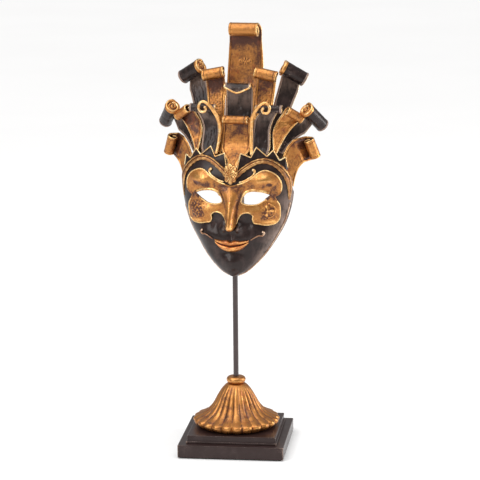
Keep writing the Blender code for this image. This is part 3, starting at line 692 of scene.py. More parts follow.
def fibre_group():
    """Drawn-out fibres or grain along one direction."""
    tree, given, out = new_group("Fibres", [
        ("Vector", "Vector", None), ("Stretch", "Vector", (1.0, 1.0, 0.1)), ("Scale", "Float", 300.0)],
        [("Value", "Float"), ("Height", "Float")])
    drawn = stretched(tree, given["Vector"], given["Stretch"])
    broad = noise_value(tree, drawn, given["Scale"], 5.0, 0.6, 0.3)
    fine = noise_value(tree, drawn, maths(tree, "MULTIPLY", given["Scale"], 4.0), 3.0, 0.6)
    feed(tree, out["Value"], plus(tree, (broad, 0.7), (fine, 0.3)))
    feed(tree, out["Height"], plus(tree, (broad, 0.4), (fine, 0.6)))
    return tree


GROUP_MAKERS = {"Aged Gilding": gilding_group, "Worn Lacquer": lacquer_group, "Leaf Joins": seams_group,
                "Fibres": fibre_group}


def use_group(tree, name, values):
    """Place a shared group in a material, making the group the first time."""
    group = bpy.data.node_groups.get(name) or GROUP_MAKERS[name]()
    node = tree.nodes.new("ShaderNodeGroup")
    node.node_tree = group
    for key, value in values.items():
        feed(tree, node.inputs[key], value)
    return node.outputs


def new_material(name):
    """A material with its tree, its shader and the socket of the piece's own coordinates."""
    material = bpy.data.materials.new(name)
    material.use_nodes = True
    tree = material.node_tree
    place = tree.nodes.new("ShaderNodeTexCoord").outputs["Object"]
    return material, tree, tree.nodes["Principled BSDF"], place


def marked(tree, name):
    return add_node(tree, "ShaderNodeAttribute", attribute_name=name).outputs["Fac"]


def bump(tree, shader, height, strength, distance):
    node = add_node(tree, "ShaderNodeBump", {"Height": height, "Strength": strength, "Distance": distance})
    feed(tree, shader.inputs["Normal"], node.outputs["Normal"])


def gilt(name, mid, light, dark, tone=0.5, scale=90.0, coat=0.35, joins=0.0, rough=0.25, mottle=1.7):
    """A gilded finish."""
    material, tree, shader, place = new_material(name)
    soiling_and_painted_light = marked(tree, "soiling_and_painted_light")
    if joins:
        flat = tree.nodes.new("ShaderNodeUVMap").outputs["UV"]
        mask = use_group(tree, "Leaf Joins", {"Vector": flat, "Strength": joins})["Mask"]
        soiling_and_painted_light = maths(tree, "ADD", soiling_and_painted_light, mask)
    made = use_group(tree, "Aged Gilding", {"Vector": place, "Relief": marked(tree, "relief"), "Soiling and Painted Light": soiling_and_painted_light,
                     "Patch Scale": scale, "Tone": tone, "Mottle": mottle, "Dark": dark, "Mid": mid,
                     "Light": light})
    feed(tree, shader.inputs["Base Color"], made["Color"])
    feed(tree, shader.inputs["Roughness"], made["Roughness"])
    feed(tree, shader.inputs["Metallic"], made["Metallic"])
    shader.inputs["Coat Weight"].default_value = coat
    shader.inputs["Coat Roughness"].default_value = rough
    bump(tree, shader, made["Height"], 0.35, 0.0006)
    return material


def lacquer(name, base, bloom, worn, wear, coat=0.6, bumped=0.25, gloss=0.16):
    """A black finish under a glossy varnish."""
    material, tree, shader, place = new_material(name)
    made = use_group(tree, "Worn Lacquer", {
        "Vector": place, "Relief": marked(tree, "relief"), "Soiling and Painted Light": marked(tree, "soiling_and_painted_light"), "Wear": wear,
        "Base": base, "Bloom": bloom, "Worn": worn})
    feed(tree, shader.inputs["Base Color"], made["Color"])
    feed(tree, shader.inputs["Roughness"], made["Roughness"])
    shader.inputs["Coat Weight"].default_value = coat
    shader.inputs["Coat Roughness"].default_value = gloss
    shader.inputs["Specular IOR Level"].default_value = 0.16
    shader.inputs["Specular Tint"].default_value = (1.0, 0.80, 0.72, 1)
    bump(tree, shader, made["Height"], bumped, 0.0005)
    return material


def fibrous(name, dark, light, stretch, scale, rough, metal=0.0, bumped=0.3):
    """Wood, card, felt, drawn metal: two colours mixed by fibres."""
    material, tree, shader, place = new_material(name)
    made = use_group(tree, "Fibres", {"Vector": place, "Stretch": stretch, "Scale": scale})
    share = span(tree, made["Value"], 0.34, 0.66)
    feed(tree, shader.inputs["Base Color"], blend_colour(tree, share, dark, light))
    feed(tree, shader.inputs["Roughness"], plus(tree, (share, 0.18), rough - 0.09))
    shader.inputs["Metallic"].default_value = metal
    bump(tree, shader, made["Height"], bumped, 0.0004)
    return material


def shared(name, maker):
    """A material made once and used again."""
    return bpy.data.materials.get(name) or maker(name)


def black_colours(context):
    paint = context.scene.mask_finish
    return tuple(paint.lacquer), tuple(paint.bloom), tuple(paint.worn)


# Each gilded finish: its main colour, rubbed colour and colour in the hollows, then how it is laid.
# A word stands for one of the three gilt colours in the settings.
GILDINGS = {
    "gilt_ribbon": ("mid", "light", "dark", {"tone": 0.44, "scale": 80.0, "coat": 0.22, "joins": 0.55}),
    "gilt_half_mask": ("mid", "light", "dark", {"tone": 0.54, "scale": 110.0, "coat": 0.3, "rough": 0.12}),
    "gilt_piping": ("light", (1.0, 0.86, 0.50), "mid", {"tone": 0.42, "scale": 140.0}),
    "gilt_old": ((0.34, 0.18, 0.10), (0.80, 0.58, 0.42), "dark", {"tone": 0.52, "scale": 120.0, "coat": 0.2}),
    "gilt_lips": ((0.48, 0.15, 0.040), (0.86, 0.42, 0.12), "dark",
                  {"tone": 0.50, "scale": 130.0, "coat": 0.4, "rough": 0.12}),
    "gilt_crest": ("mid", "light", "dark", {"tone": 0.42, "scale": 60.0, "coat": 0.22, "mottle": 0.9}),
    "gilt_band": ((0.34, 0.15, 0.050), (0.84, 0.52, 0.20), (0.07, 0.025, 0.012),
                  {"tone": 0.48, "scale": 120.0, "coat": 0.2}),
    "gilt_edge": ("mid", (1.0, 0.66, 0.27), "dark", {"tone": 0.66, "scale": 140.0}),
    "gilt_foot": ("mid", "light", "dark", {"tone": 0.38, "scale": 70.0, "coat": 0.25}),
}


def gilding(context, name):
    """One of the gilded finishes."""
    paint = context.scene.mask_finish
    own = {"mid": tuple(paint.gilt_mid), "light": tuple(paint.gilt_light), "dark": tuple(paint.gilt_dark)}
    *colours, laid = GILDINGS[name]
    mid, light, dark = (own.get(colour, colour) for colour in colours)
    return shared(name, lambda n: gilt(n, mid, light, dark, **laid))


def black_mask(context):
    base, bloom, worn = black_colours(context)
    return shared("black_face", lambda n: lacquer(n, base, bloom, worn, 0.45, coat=0.42, bumped=0.16))


def black_ribbon(context):
    """The ribbons' black: deeper than the face's, and duller."""
    base, bloom, worn = black_colours(context)
    base = tuple(0.7 * value for value in base)
    bloom = tuple(0.72 * value for value in bloom)
    return shared("black_ribbon", lambda n: lacquer(n, base, bloom, worn, 0.9, coat=0.35, bumped=0.8))


# ------------------------------------------------------------------ pieces of the stand

def make_plinth(context):
    sizes = context.scene.mask_stand
    low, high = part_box("plinth")
    half = high.x
    obj = block("plinth_finish", low, high)
    editing(obj, "EDGE")
    bpy.ops.mesh.bevel(offset=sizes.edge_round, segments=3, affect="EDGES")
    bpy.ops.object.mode_set(mode="OBJECT")
    score(obj, half, (1.6, 3.4, 9.0))
    for radius, top in ((13.0, 10.0), (ROD_BORE, 30.0)):
        cut(obj, bore(radius, -2.0, top))
    return obj


def make_slab(context):
    sizes = context.scene.mask_stand
    low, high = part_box("plinth_slab")
    step_top = 19.2 * MM
    obj = block("slab_finish", low, (high.x, high.y, step_top))
    editing(obj, "FACE")
    bpy.ops.mesh.select_all(action="DESELECT")
    bpy.ops.object.mode_set(mode="OBJECT")
    for face in obj.data.polygons:
        face.select = face.normal.z > 0.9
    bpy.ops.object.mode_set(mode="EDIT")
    bpy.ops.mesh.inset(thickness=1.35 * MM)
    bpy.ops.mesh.extrude_region_move(TRANSFORM_OT_translate={"value": (0, 0, high.z - step_top)})
    bpy.ops.mesh.select_mode(type="EDGE")

    def sharp(a, b):
        """An edge round the top, an upright one, or one round the outside of the step."""
        on_top = a.z > high.z - 1e-5 and b.z > high.z - 1e-5
        upright = abs(a.z - b.z) > 1e-4
        on_step = abs(a.z - step_top) < 1e-5 and abs(b.z - step_top) < 1e-5
        return on_top or upright or (on_step and max(abs(a.x), abs(a.y)) > high.x - 1e-5)

    pick_edges(obj, sharp)
    bpy.ops.mesh.bevel(offset=sizes.edge_round * 0.75, segments=3, affect="EDGES")
    bpy.ops.object.mode_set(mode="OBJECT")
    score(obj, high.x, (2.8, 4.4, 9.0))
    cut(obj, bore(ROD_BORE, 10.0, 40.0))
    return obj


def make_foot():
    """A bell-shaped foot of rounded ribs that end in a scalloped rim."""
    rows = smooth_path(FOOT, 5)
    profile = [(ROD_BORE, 26.2)] + [(r, z) for r, z, _ in rows] + [(ROD_BORE, 78.0)]
    obj = turned("fluted_foot_finish", profile, FLUTES * 12)
    for vertex in obj.data.vertices:
        x, y, z = (value / MM for value in vertex.co)
        r = hypot(x, y)
        if r < 6.0:
            continue
        depth = float(np.interp(z, rows[:, 1], rows[:, 2])) * 1.15
        rib = abs(sin(0.5 * FLUTES * atan2(y, x)))
        wave = depth * (1.0 - rib ** 0.8)
        uneven = 0.18 * noise.noise(Vector((x, y, z)) * 0.22)
        scale = (r - wave + uneven) / r
        vertex.co.x *= scale
        vertex.co.y *= scale
    return obj


def make_collar():
    low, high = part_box("collar")
    half = (high.z - low.z) / 2 / MM
    middle = (high.z + low.z) / 2 / MM
    outer = high.x / MM
    bead = [(outer - half + half * cos(a), middle + half * sin(a))
            for a in (radians(-84 + 12 * i) for i in range(15))]
    return turned("collar_finish", [(ROD_BORE, low.z / MM)] + bead + [(ROD_BORE, high.z / MM)], 64)


def make_rod():
    low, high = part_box("rod")
    r = high.x / MM
    z0, z1 = low.z / MM, high.z / MM
    shaft = [(r, z0 + 0.6 + (z1 - z0 - 1.2) * i / 60) for i in range(61)]
    return turned("rod_finish", [(r - 0.5, z0)] + shaft + [(r - 0.6, z1)], 32, solid=True)


# ------------------------------------------------------------------ pieces of the mask

def face_grid(us, vs):
    """Places on the outer face: u runs -1 to 1 across, v 0 to 1 from the chin to the top edge."""
    u, v = np.meshgrid(us, vs)
    across = np.sin(0.5 * pi * u)
    top = np.interp(FACE_WIDEST * np.abs(across), *TOP_CURVE)
    z = CHIN_Z + (top - CHIN_Z) * v
    half, mid, rim = (np.interp(z, *curve) for curve in (HALF_CURVE, MID_CURVE, RIM_CURVE))
    x = half * across
    y = mid + (rim - mid) * (1 - np.cos(0.5 * pi * u))
    return np.stack([x, y, z], -1)


def grid_normals(grid):
    """Outward unit normals of a grid whose rows run upwards and whose columns run to the right."""
    across = np.gradient(grid, axis=1)
    up = np.gradient(grid, axis=0)
    normal = np.cross(across, up)
    return normal / np.maximum(np.linalg.norm(normal, axis=-1, keepdims=True), 1e-9)


def make_shell():
    """The black face: a thin shell with its features modelled in and a rolled rim at the jaw."""
    us = np.linspace(-1, 1, 169)
    vs = np.linspace(0, 1, 131) ** 1.12
    plain = face_grid(us, vs)
    normal = grid_normals(plain)
    x, z = plain[..., 0], plain[..., 2]
    fade = np.clip((1 - np.abs(us)) / 0.25, 0, 1)[None, :] * np.clip(vs / 0.08, 0, 1)[:, None]
    rise = sculpt(x, z) * fade
    bead = 0.9 * np.exp(-((np.abs(us) - 0.972) / 0.016) ** 2)[None, :] * np.ones_like(z)
    front = plain.copy()
    front[..., 1] -= rise
    front += normal * bead[..., None]
    inner = face_grid(us, vs)
    inner[..., 1] -= rise
    inner -= normal * SHELL_T
    # Painted sheen: a lighter, browner band down the right side of the face with a thin one at the left edge,
    # standing in for side light caught at a grazing angle; the inside gets an even soiled tone.
    painted_sheen = 0.75 * np.clip((us - 0.50) / 0.24, 0, 1) + 0.25 * np.clip((us - 0.86) / 0.06, 0, 1)
    painted_sheen = (painted_sheen + 0.4 * np.clip((-us - 0.86) / 0.06, 0, 1) + 0.3 * np.clip((us - 0.74) / 0.1, 0, 1))[None, :]
    painted_sheen = painted_sheen * np.clip((z - 214) / 26, 0, 1) * np.clip((345 - z) / 60, 0.25, 1)
    obj = sheet("face_shell_finish", front, inner, soiling_and_painted_light=np.concatenate([painted_sheen.ravel(), np.full(x.size, 0.6)]))
    for side in (-1, 1):
        hole = closed_curve([(side * ex, ez) for ex, ez in grown(EYE, 0.6)], 4)
        cut(obj, prism("eye_hole", hole, -60.0, 30.0))
    return obj


def make_jaw_rim(radius):
    """A fine line along each side of the jaw, from the brow band's ends to the chin."""
    parts = []
    v = np.linspace(0.80, 0.004, 160)
    for side in (-1, 1):
        at = 0.87 if side > 0 else 0.955
        rows = face_grid(np.array([at * side]), v)[:, 0, :]
        around = face_grid(np.array([at * side - 0.01, at * side, at * side + 0.01]), v)
        normal = grid_normals(around)[:, 1, :]
        parts.append(cord("rim", rows + np.sign(-normal[:, 1:2]) * normal * 0.35, radius, 8))
    return joined("jaw_rim", parts)


def lobe_texture(x, z, rough):
    """Stippled ground on the left cheek lobe, a small flower on the right, and a pit on each temple."""
    inside = np.exp(-(((np.abs(x) - 43.5) / 8.5) ** 4) - ((z - 292.5) / 10.0) ** 4)
    left = (x < 0) * inside * rough * 0.9
    dx, dz = x - 43.0, z - 293.5
    r = np.hypot(dx, dz)
    petals = np.maximum(0, np.cos(3.5 * np.arctan2(dz, dx))) ** 2 * np.exp(-((r - 4.2) / 2.6) ** 2)
    flower = (x > 0) * (1.3 * petals + 0.9 * np.exp(-(r / 1.3) ** 2) + 0.35 * inside * rough)
    flower += (dx > 0) * 0.7 * np.exp(-((r - 8.4) / 0.55) ** 2)
    pit = -mound(x, z, 45.0, 325.0, 2.6, 2.0, 1.4)
    dark = inside * np.clip(0.42 - 0.9 * (left + flower), -0.3, 1) + mound(x, z, 45.0, 325.0, 3.0, 2.4, 1.0)
    return left + flower + pit, dark


def make_half_mask():
    """The gilded half mask with its nose, trimmed to its outline and opened for the eyes."""
    xs = np.linspace(-61, 61, 175)
    zs = np.linspace(264, 345, 117)
    x, z = np.meshgrid(xs, zs)
    points = np.stack([x, z, np.zeros_like(x)], -1).reshape(-1, 3)
    rough = grain(points, 0.42, 3).reshape(x.shape)
    texture, dark = lobe_texture(x, z, rough)
    front = np.stack([x, laid_y(x, z, LAY + 1.7) - nose_rise(x, z) - texture - 0.10 * rough, z], -1)
    back = np.stack([x, laid_y(x, z, -0.6), z], -1)
    # Painted shade: darker down the steep sides of the nose, beside its root and in a band above the eyes;
    # also darker in the middle of the brow and at the outer corners of the eyes; negative values are painted
    # highlights on the brow lobes, under the eyes, down the nose ridge, on its tip and along the bottom of
    # the cheek lobes.
    side = np.clip(np.abs(np.gradient(nose_rise(x, z), axis=1)) * 0.20, 0, 0.20)
    side = side * np.clip((z - 274) / 8, 0, 1)
    side += (0.10 + mound(x, z, 11, 308, 4.5, 12, 0.32) + mound(x, z, 0, 322, 13, 7, 0.22)
             + mound(x, z, 30, 322.5, 22, 3.5, 0.25) + mound(x, z, 50.5, 309.5, 3.5, 3.5, 0.9)
             - mound(x, z, 37, 332.5, 9, 4.5, 0.45) - mound(x, z, 27, 295.5, 13, 4.0, 0.40)
             - mound(x, z, 1.5, 288, 1.6, 12, 0.35) - mound(x, z, 0, 273.5, 5.5, 4.5, 0.50)
             - mound(x, z, 45, 279.5, 10, 2.5, 0.45))
    soiling_and_painted_light = np.concatenate([(dark + side).ravel(), np.ones(x.size)])
    obj = sheet("half_mask_finish", front, back, soiling_and_painted_light=soiling_and_painted_light)
    outline = HALF_MASK + [(-ox, oz) for ox, oz in reversed(HALF_MASK)]
    cut(obj, prism("half_mask_outline", closed_curve(outline, 3), -70.0, 40.0), "INTERSECT")
    for sign in (-1, 1):
        hole = closed_curve([(sign * ex, ez) for ex, ez in EYE], 4)
        cut(obj, prism("lid_hole", hole, -65.0, 35.0))
    return obj


def make_half_mask_piping(radius):
    """Raised cords round the half mask and the lids of the eyes."""
    parts = []
    outline = HALF_MASK[1:-2]
    for sign in (-1, 1):
        rows = smooth_path([(sign * ox, oz) for ox, oz in outline], 4)
        path = [(ox, float(laid_y(ox, oz, LAY + 1.6) - nose_rise(ox, oz)), oz) for ox, oz in rows]
        joint = np.array([1.0 * (abs(ox) > 47.5 and 304.5 < oz < 314) for ox, oz in rows])
        parts.append(cord("rim", path, radius, 8, soiling_and_painted_light=lambda f: joint[int(f * (len(joint) - 1))]))
        rows = closed_curve([(sign * ex, ez) for ex, ez in grown(EYE, 0.5)], 5)
        rows = np.vstack([rows, rows[:1]])
        path = [(ex, float(laid_y(ex, ez, LAY + 1.6) - nose_rise(ex, ez)), ez) for ex, ez in rows]
        middle = 307.5
        heights = [row[1] for row in rows]
        parts.append(cord("lid", path, lambda f: radius * (
            2.2 if heights[int(f * (len(heights) - 1))] > middle else 0.9), 8,
            soiling_and_painted_light=lambda f: 0.9 * (abs(rows[int(f * (len(rows) - 1))][0]) > 42.5)))
    return joined("half_mask_piping", parts)


def make_lips():
    """A bowed upper lip and a fuller lower one with the mouth line between."""
    us = np.linspace(-1, 1, 71)
    vs = np.linspace(0, 1, 33)
    u, v = np.meshgrid(us, vs)
    t = np.abs(u)
    x = 20.8 * u
    top = 257.4 + 1.1 * np.exp(-((t - 0.24) / 0.20) ** 2) - 0.8 * np.exp(-(t / 0.09) ** 2) + 1.0 * t * t
    low = 243.4 + 11.6 * t ** 2.3
    line = 251.8 + 4.6 * t ** 2 - 0.7 * np.exp(-(t / 0.16) ** 2)
    z = np.where(v < 0.55, low + (line - low) * v / 0.55, line + (top - line) * (v - 0.55) / 0.45)
    taper = np.sqrt(np.clip(1 - t ** 2.6, 0, 1))
    under = np.sin(pi * np.clip(v / 0.55, 0, 1)) ** 0.7 * 4.4
    upper = np.sin(pi * np.clip((v - 0.55) / 0.45, 0, 1)) ** 0.7 * 4.0
    full = np.where(v < 0.55, under, upper) * taper + 0.7
    front = np.stack([x, laid_y(x, z, LAY) - full, z], -1)
    back = np.stack([x, laid_y(x, z, -0.8), z], -1)
    # Painted shade along the mouth line between the lips, and a painted highlight (negative) on the middle of
    # the lower lip.
    mouth = np.exp(-((v - 0.55) / 0.032) ** 2) * 0.55 - mound(x, z, 0, 247.0, 11, 2.0, 0.3)
    return sheet("lips_finish", front, back, soiling_and_painted_light=np.concatenate([mouth.ravel(), np.ones(x.size)]))


def make_brow_band():
    """A half-round gilded band along the top of the face."""
    rows = smooth_path([(-x, z) for x, z in reversed(BROW[1:])] + BROW, 8)
    rows[:, 1] += 2.2 * np.exp(-((rows[:, 0] + 36) / 20) ** 2)
    rows, along = spaced(rows, 0.8, 2)
    ahead = np.gradient(rows, axis=0)
    ahead /= np.linalg.norm(ahead, axis=1)[:, None]
    out = np.stack([-ahead[:, 1], ahead[:, 0]], -1)
    section = [(-3.2, -0.8), (-3.2, 0.7), (-2.8, 1.5), (-1.9, 2.2), (-0.8, 2.5), (0.3, 2.3), (0.9, 1.5),
               (1.4, 1.4), (1.8, 2.3), (2.5, 2.7), (3.1, 2.2), (3.3, 0.9), (3.3, -0.8)]
    rings = []
    for (x, z), (nx, nz), s in zip(rows, out, along):
        swell = 1.0 + 0.05 * sin(s * 0.9)
        swell *= min(1.0, 0.22 + min(s, along[-1] - s) / 34.0)
        ring = []
        for off, rise in section:
            px, pz = x + nx * off * swell, z + nz * off * swell
            ring.append((px, float(laid_y(px, pz, LAY)) - rise * swell, pz))
        rings.append(ring)
    rings = np.array(rings)
    return settle(mesh_object("brow_band_finish", turn_to_mask(rings.reshape(-1, 3)),
                              ring_faces(len(rings), len(section))))


def teeth_rows():
    full = [(-x, z, y) for x, z, y in reversed(TEETH[1:])] + TEETH
    rows, _ = spaced(np.array(full, float), 1.2)
    corners = np.array(full, float)
    rows = np.vstack([rows, corners])
    order = np.argsort(rows[:, 0], kind="stable")
    rows = rows[order]
    keep = np.concatenate([[True], np.diff(rows[:, 0]) > 0.05])
    return rows[keep]


def make_teeth():
    """The black saw-tooth collar."""
    rows = teeth_rows()
    x, z, y = rows.T
    foot_x = np.clip(x, -62, 62)
    foot_z = np.interp(np.abs(foot_x), *TOP_CURVE) - 2.0
    foot_y = face_y(foot_x, foot_z) + 0.4
    share = np.linspace(0, 1, 12)[:, None]
    front = np.stack([foot_x + (x - foot_x) * share, foot_y + (y - foot_y) * share - 0.6 * np.sin(pi * share),
                      foot_z + (z - foot_z) * share], -1)
    return sheet("saw_tooth_finish", front, front + np.array([0, 1.4, 0.2]))


def make_teeth_cord(radius):
    full = [(-x, y, z) for x, z, y in reversed(TEETH[1:])] + [(x, y, z) for x, z, y in TEETH]
    path = np.array([(x, y - 0.2, z) for x, y, z in full])
    return cord("saw_tooth_cord", path, radius, 8)


def make_rosette():
    """A filigree boss: a petalled dome with curling leaves cut into it."""
    rings, turns = 30, 120
    centre_z, wide, tall = 338.0, 8.8, 12.8
    front = []
    for i in range(rings + 1):
        f = max(i / rings, 0.02)
        row = []
        for j in range(turns):
            a = 2 * pi * j / turns
            edge = 1.0 - 0.16 * (1 - abs(cos(4 * a)))
            x, z = wide * edge * f * cos(a), tall * edge * f * sin(a)
            curl = noise.fractal(Vector((x, z, 3.0)) * 0.36, 1.0, 2.0, 3)
            leaf = 1.7 * max(0.0, cos(8 * a + 5.0 * f)) * sin(pi * min(f, 1.0)) ** 0.6
            bud = 1.4 * max(0.0, 1 - (f / 0.2) ** 2)
            dome = 4.4 * sqrt(max(0.0, 1 - f ** 2.4))
            row.append((x, -18.2 - dome - (leaf + 1.3 * abs(curl) if f < 0.97 else 0.0) - bud, centre_z + z))
        front.append(row)
    back = [(x, -17.0, z) for x, _, z in front[-1]]
    rows = np.array(front + [back])
    points = turn_to_mask(rows.reshape(-1, 3))
    return settle(mesh_object("rosette_finish", points, ring_faces(len(rows), turns)))


def ribbon_line(side, edges, centre, axis, half, radius, turns, pitch, last):
    """Middle and half-width vector of a ribbon along its rise and its roll."""
    rows = smooth_path(edges, 3)
    inner, outer = rows[:, :3].copy(), rows[:, 3:].copy()
    inner[:, 0] *= side
    outer[:, 0] *= side
    if side < 0:
        inner, outer = outer, inner
    middle, wide = (inner + outer) / 2, (outer - inner) / 2
    a = Vector(axis).normalized()
    c = Vector(centre)
    if side < 0:
        a = Vector((a.x, -a.y, -a.z))
        c.x = -c.x
    rise = Vector(middle[-1] - middle[-2])
    e2 = (rise - a * rise.dot(a)).normalized()
    e1 = e2.cross(a)
    count = max(6, int(round(turns * 12)))
    start = Vector(wide[-1]).length
    line = [tuple(m) + tuple(w) for m, w in zip(middle, wide)]
    for k in range(count + 1):
        f = k / count
        angle = 2.0 * pi * turns * f
        r = radius - pitch * turns * f
        p = c + e1 * (r * cos(angle)) + e2 * (r * sin(angle))
        h = half + (last - half) * f
        if f < 0.12:
            h = start + (h - start) * f / 0.12
        line.append(tuple(p) + tuple(a * h))
    dense, along = spaced(smooth_path(line, 8), 1.0)
    roll_at = np.linalg.norm(dense[:, :3] - np.array(line[len(middle)][:3]), axis=1).argmin()
    return dense, along, along[roll_at]


def pulled_back(along, s, tip):
    """Where a point at share s of the width lies along a ribbon whose end is cut to a tongue."""
    return along - tip * (np.sqrt(s * s + 0.03) - 0.17) / 0.845 * (along / along[-1]) ** 6


def make_ribbon(name, kind, side, edges, centre, axis, half, radius, turns, pitch, last, bead, depth):
    """A rolled ribbon with beaded edges and tooled faces; depth is how deep the tooling goes."""
    dense, along, roll_at = ribbon_line(side, edges, centre, axis, half, radius, turns, pitch, last)
    middle, wide = dense[:, :3], dense[:, 3:]
    span_half = np.linalg.norm(wide, axis=1)
    ahead = np.gradient(middle, axis=0)
    normal = np.cross(ahead, wide)
    normal /= np.linalg.norm(normal, axis=1)[:, None]
    tip = TONGUES.get(name, 0.0)
    edge_w = np.minimum(2.6 * bead, 0.45 * span_half)
    steps = np.linspace(0, 1, 9)
    inner = np.linspace(-1, 1, 73 if name == "crest_ribbon" else 25)[1:-1]
    left = -1 + steps[None, :] * (edge_w / span_half)[:, None]
    core = inner[None, :] * (1 - edge_w / span_half)[:, None]
    s = np.concatenate([left, core, -left[:, ::-1]], 1)
    off = np.concatenate([steps, np.full(len(inner), 2.0), steps[::-1]])[None, :]
    round_edge = np.where(off < 1.5, np.sqrt(np.clip(1 - (2 * off - 1) ** 2, 0, 1)), 0.0)
    across = s * span_half[:, None]
    v = np.broadcast_to(along[:, None], s.shape)
    flat = np.stack([across, v, np.full_like(s, 7.0 * hash_of(name))], -1).reshape(-1, 3)
    rough = grain(flat, 0.30, 3).reshape(s.shape)
    if name == "crest_ribbon":
        emboss = ornament(across * 1.1, v - 124.0) * 0.9
        tool = depth * (0.35 * rough + emboss)
    elif kind == "gold":
        tool = depth * (0.6 - 1.5 * np.abs(rough))
    else:
        strokes = grain(flat * (0.55, 0.16, 1.0), 0.8, 2).reshape(s.shape)
        tool = depth * (0.5 * rough - 2.4 * np.clip(strokes - 0.12, 0, 0.3))
    tool = np.where(off > 1.5, tool, 0.0)
    ends = np.clip(np.minimum(along, along[-1] - along) / 1.5, 0, 1)
    thick = RIBBON_T / 2 * (0.45 + 0.55 * np.sqrt(ends))
    over = thick[:, None] + tool + round_edge * bead * 0.75 - np.where(off < 1.5, 0.25, 0.0)
    under = thick[:, None] + tool * 0.7 + round_edge * bead * 0.45 - np.where(off < 1.5, 0.25, 0.0)
    at = pulled_back(v, s, tip)
    middle, wide, normal = (np.stack([np.interp(at, along, row[:, k]) for k in range(3)], -1)
                            for row in (middle, wide, normal))
    place = middle + wide * s[..., None]
    front = place - normal * over[..., None]
    back = place + normal * under[..., None]
    # Painted shade, with some patina: darker just under the roll and deep inside it; each ribbon's all-over
    # term from SHADES darkens (+) or lightens (-) it, so that left and right copies differ as if lit from one
    # side; the crest is also darker towards both sides and lighter on its raised ornament; the beaded edges
    # are a little lighter.
    under_roll, all_over = SHADES.get(name, (0.55 if name[:-2] in BRIGHT_EDGES else 0.75, 0.0))
    shade = np.exp(-((v - roll_at + 7.0) / 11.0) ** 2) * under_roll + all_over
    if name == "crest_ribbon":
        shade = shade + 0.10 + 0.35 * s ** 4 - 0.25 * emboss
    inside = np.clip((v - roll_at) / 6.0, 0, 1) * 0.85
    dirt_and_shade = np.maximum(shade, inside) - np.where(off < 1.5, 0.15, 0.0)
    # The back is darker over the last 9 mm, the innermost turn of the roll.
    tip_darkening = np.clip((v - along[-1] + 9.0) / 9.0, 0, 1) * 0.6
    uv = np.stack([across, v], -1).reshape(-1, 2)
    return sheet(name + "_finish", front, back, np.concatenate([uv, uv]),
                 np.concatenate([dirt_and_shade.ravel(), tip_darkening.ravel()]))


def ornament(x, z):
    """A raised flower between two scrolls."""
    r, turn = np.hypot(x, z), np.arctan2(z, x)
    flower = np.cos(3 * turn) ** 2 * np.exp(-((r - 2.6) / 1.5) ** 2)
    out = np.abs(x) - 6.4
    rays = np.cos(4 * np.arctan2(z, out)) ** 2
    scroll = (0.4 + 0.6 * rays) * np.exp(-((np.hypot(out, z) - 1.7) / 1.0) ** 2)
    return 2.4 * np.maximum(np.maximum(scroll, flower), np.exp(-(r / 0.9) ** 2))


def volute_radius(f):
    """A volute's radius: fullest at the middle of its rise, and slimmer into the curl."""
    return 1.8 + 0.6 * sin(pi * min(f / 0.8, 1)) ** 2 - 0.1 * f


def hash_of(name):
    """A steady number for a name, so that no two ribbons share a grain."""
    return sum((i + 1) * ord(letter) for i, letter in enumerate(name)) % 97


def ribbon_edging(name, side, edges, centre, axis, half, radius, turns, pitch, last, thin, thick):
    """Gilt lines along a ribbon's edges, thicker round the end of its roll that faces the middle."""
    dense, along, roll_at = ribbon_line(side, edges, centre, axis, half, radius, turns, pitch, last)
    share = roll_at / along[-1]
    tip = TONGUES.get(name, 0.0)
    parts = []
    for sign in (-1, 1):
        at = pulled_back(along, sign, tip)
        path = np.stack([np.interp(at, along, column) for column in dense.T], -1)
        path = path[:, :3] + path[:, 3:] * sign * 0.995
        full = thick if tip or sign != (side if name != "crest_ribbon" else -side) else thin
        parts.append(cord("edge", path, lambda f: thin + (full - thin) * min(max((f - share) * 12, 0), 1), 6,
                          ends=1.0, soiling_and_painted_light=lambda f: 0.55 if tip and f < 0.9 else 0.0))
    if tip:
        s = np.linspace(-1, 1, 41)
        at = pulled_back(np.full(41, along[-1]), s, tip)
        path = np.stack([np.interp(at, along, column) for column in dense.T], -1)
        parts.append(cord("edge", path[:, :3] + path[:, 3:] * s[:, None], thick, 8, ends=1.0))
    return joined(name + "_edging", parts)


def make_roll_end(name, side, centre, axis, half, radius):
    """A gilded coil that closes the end of a roll towards the middle of the crown."""
    a = Vector(axis).normalized()
    c = Vector(centre)
    if side < 0:
        a = Vector((a.x, -a.y, -a.z))
        c.x = -c.x
    inward = a * -side
    middle = c + inward * (half - 1.6)
    e1 = inward.orthogonal().normalized()
    e2 = inward.cross(e1)
    full = radius + 0.2
    rows = []
    for r, lift in ([(full, -2.0), (full, 0.0)] + [(full * f, 1.0) for f in np.linspace(0.97, 0.03, 26)]):
        ring = []
        for j in range(64):
            angle = 2 * pi * j / 64
            coil = 0.55 * cos(2 * pi * (r / 3.4) + angle * side) if lift > 0 else 0.0
            p = middle + e1 * (r * cos(angle)) + e2 * (r * sin(angle)) + inward * (
                min(lift, 0.0) + coil + (1.0 - r / full) * 2.4 + 0.8 * np.exp(-((r - full + 0.6) / 0.7) ** 2))
            ring.append(tuple(p))
        rows.append(ring)
    rows = np.array(rows)
    return settle(mesh_object(name + "_roll_end", turn_to_mask(rows.reshape(-1, 3)),
                              ring_faces(len(rows), 64)))


# ------------------------------------------------------------------ settings

class MaskStandSettings(bpy.types.PropertyGroup):
    """Sizes of the stand's finishing."""
    edge_round: FloatProperty(name="Edge Rounding", description="Bevel on the plinth's edges", default=0.0008,
                              min=0.0001, max=0.003, unit="LENGTH")


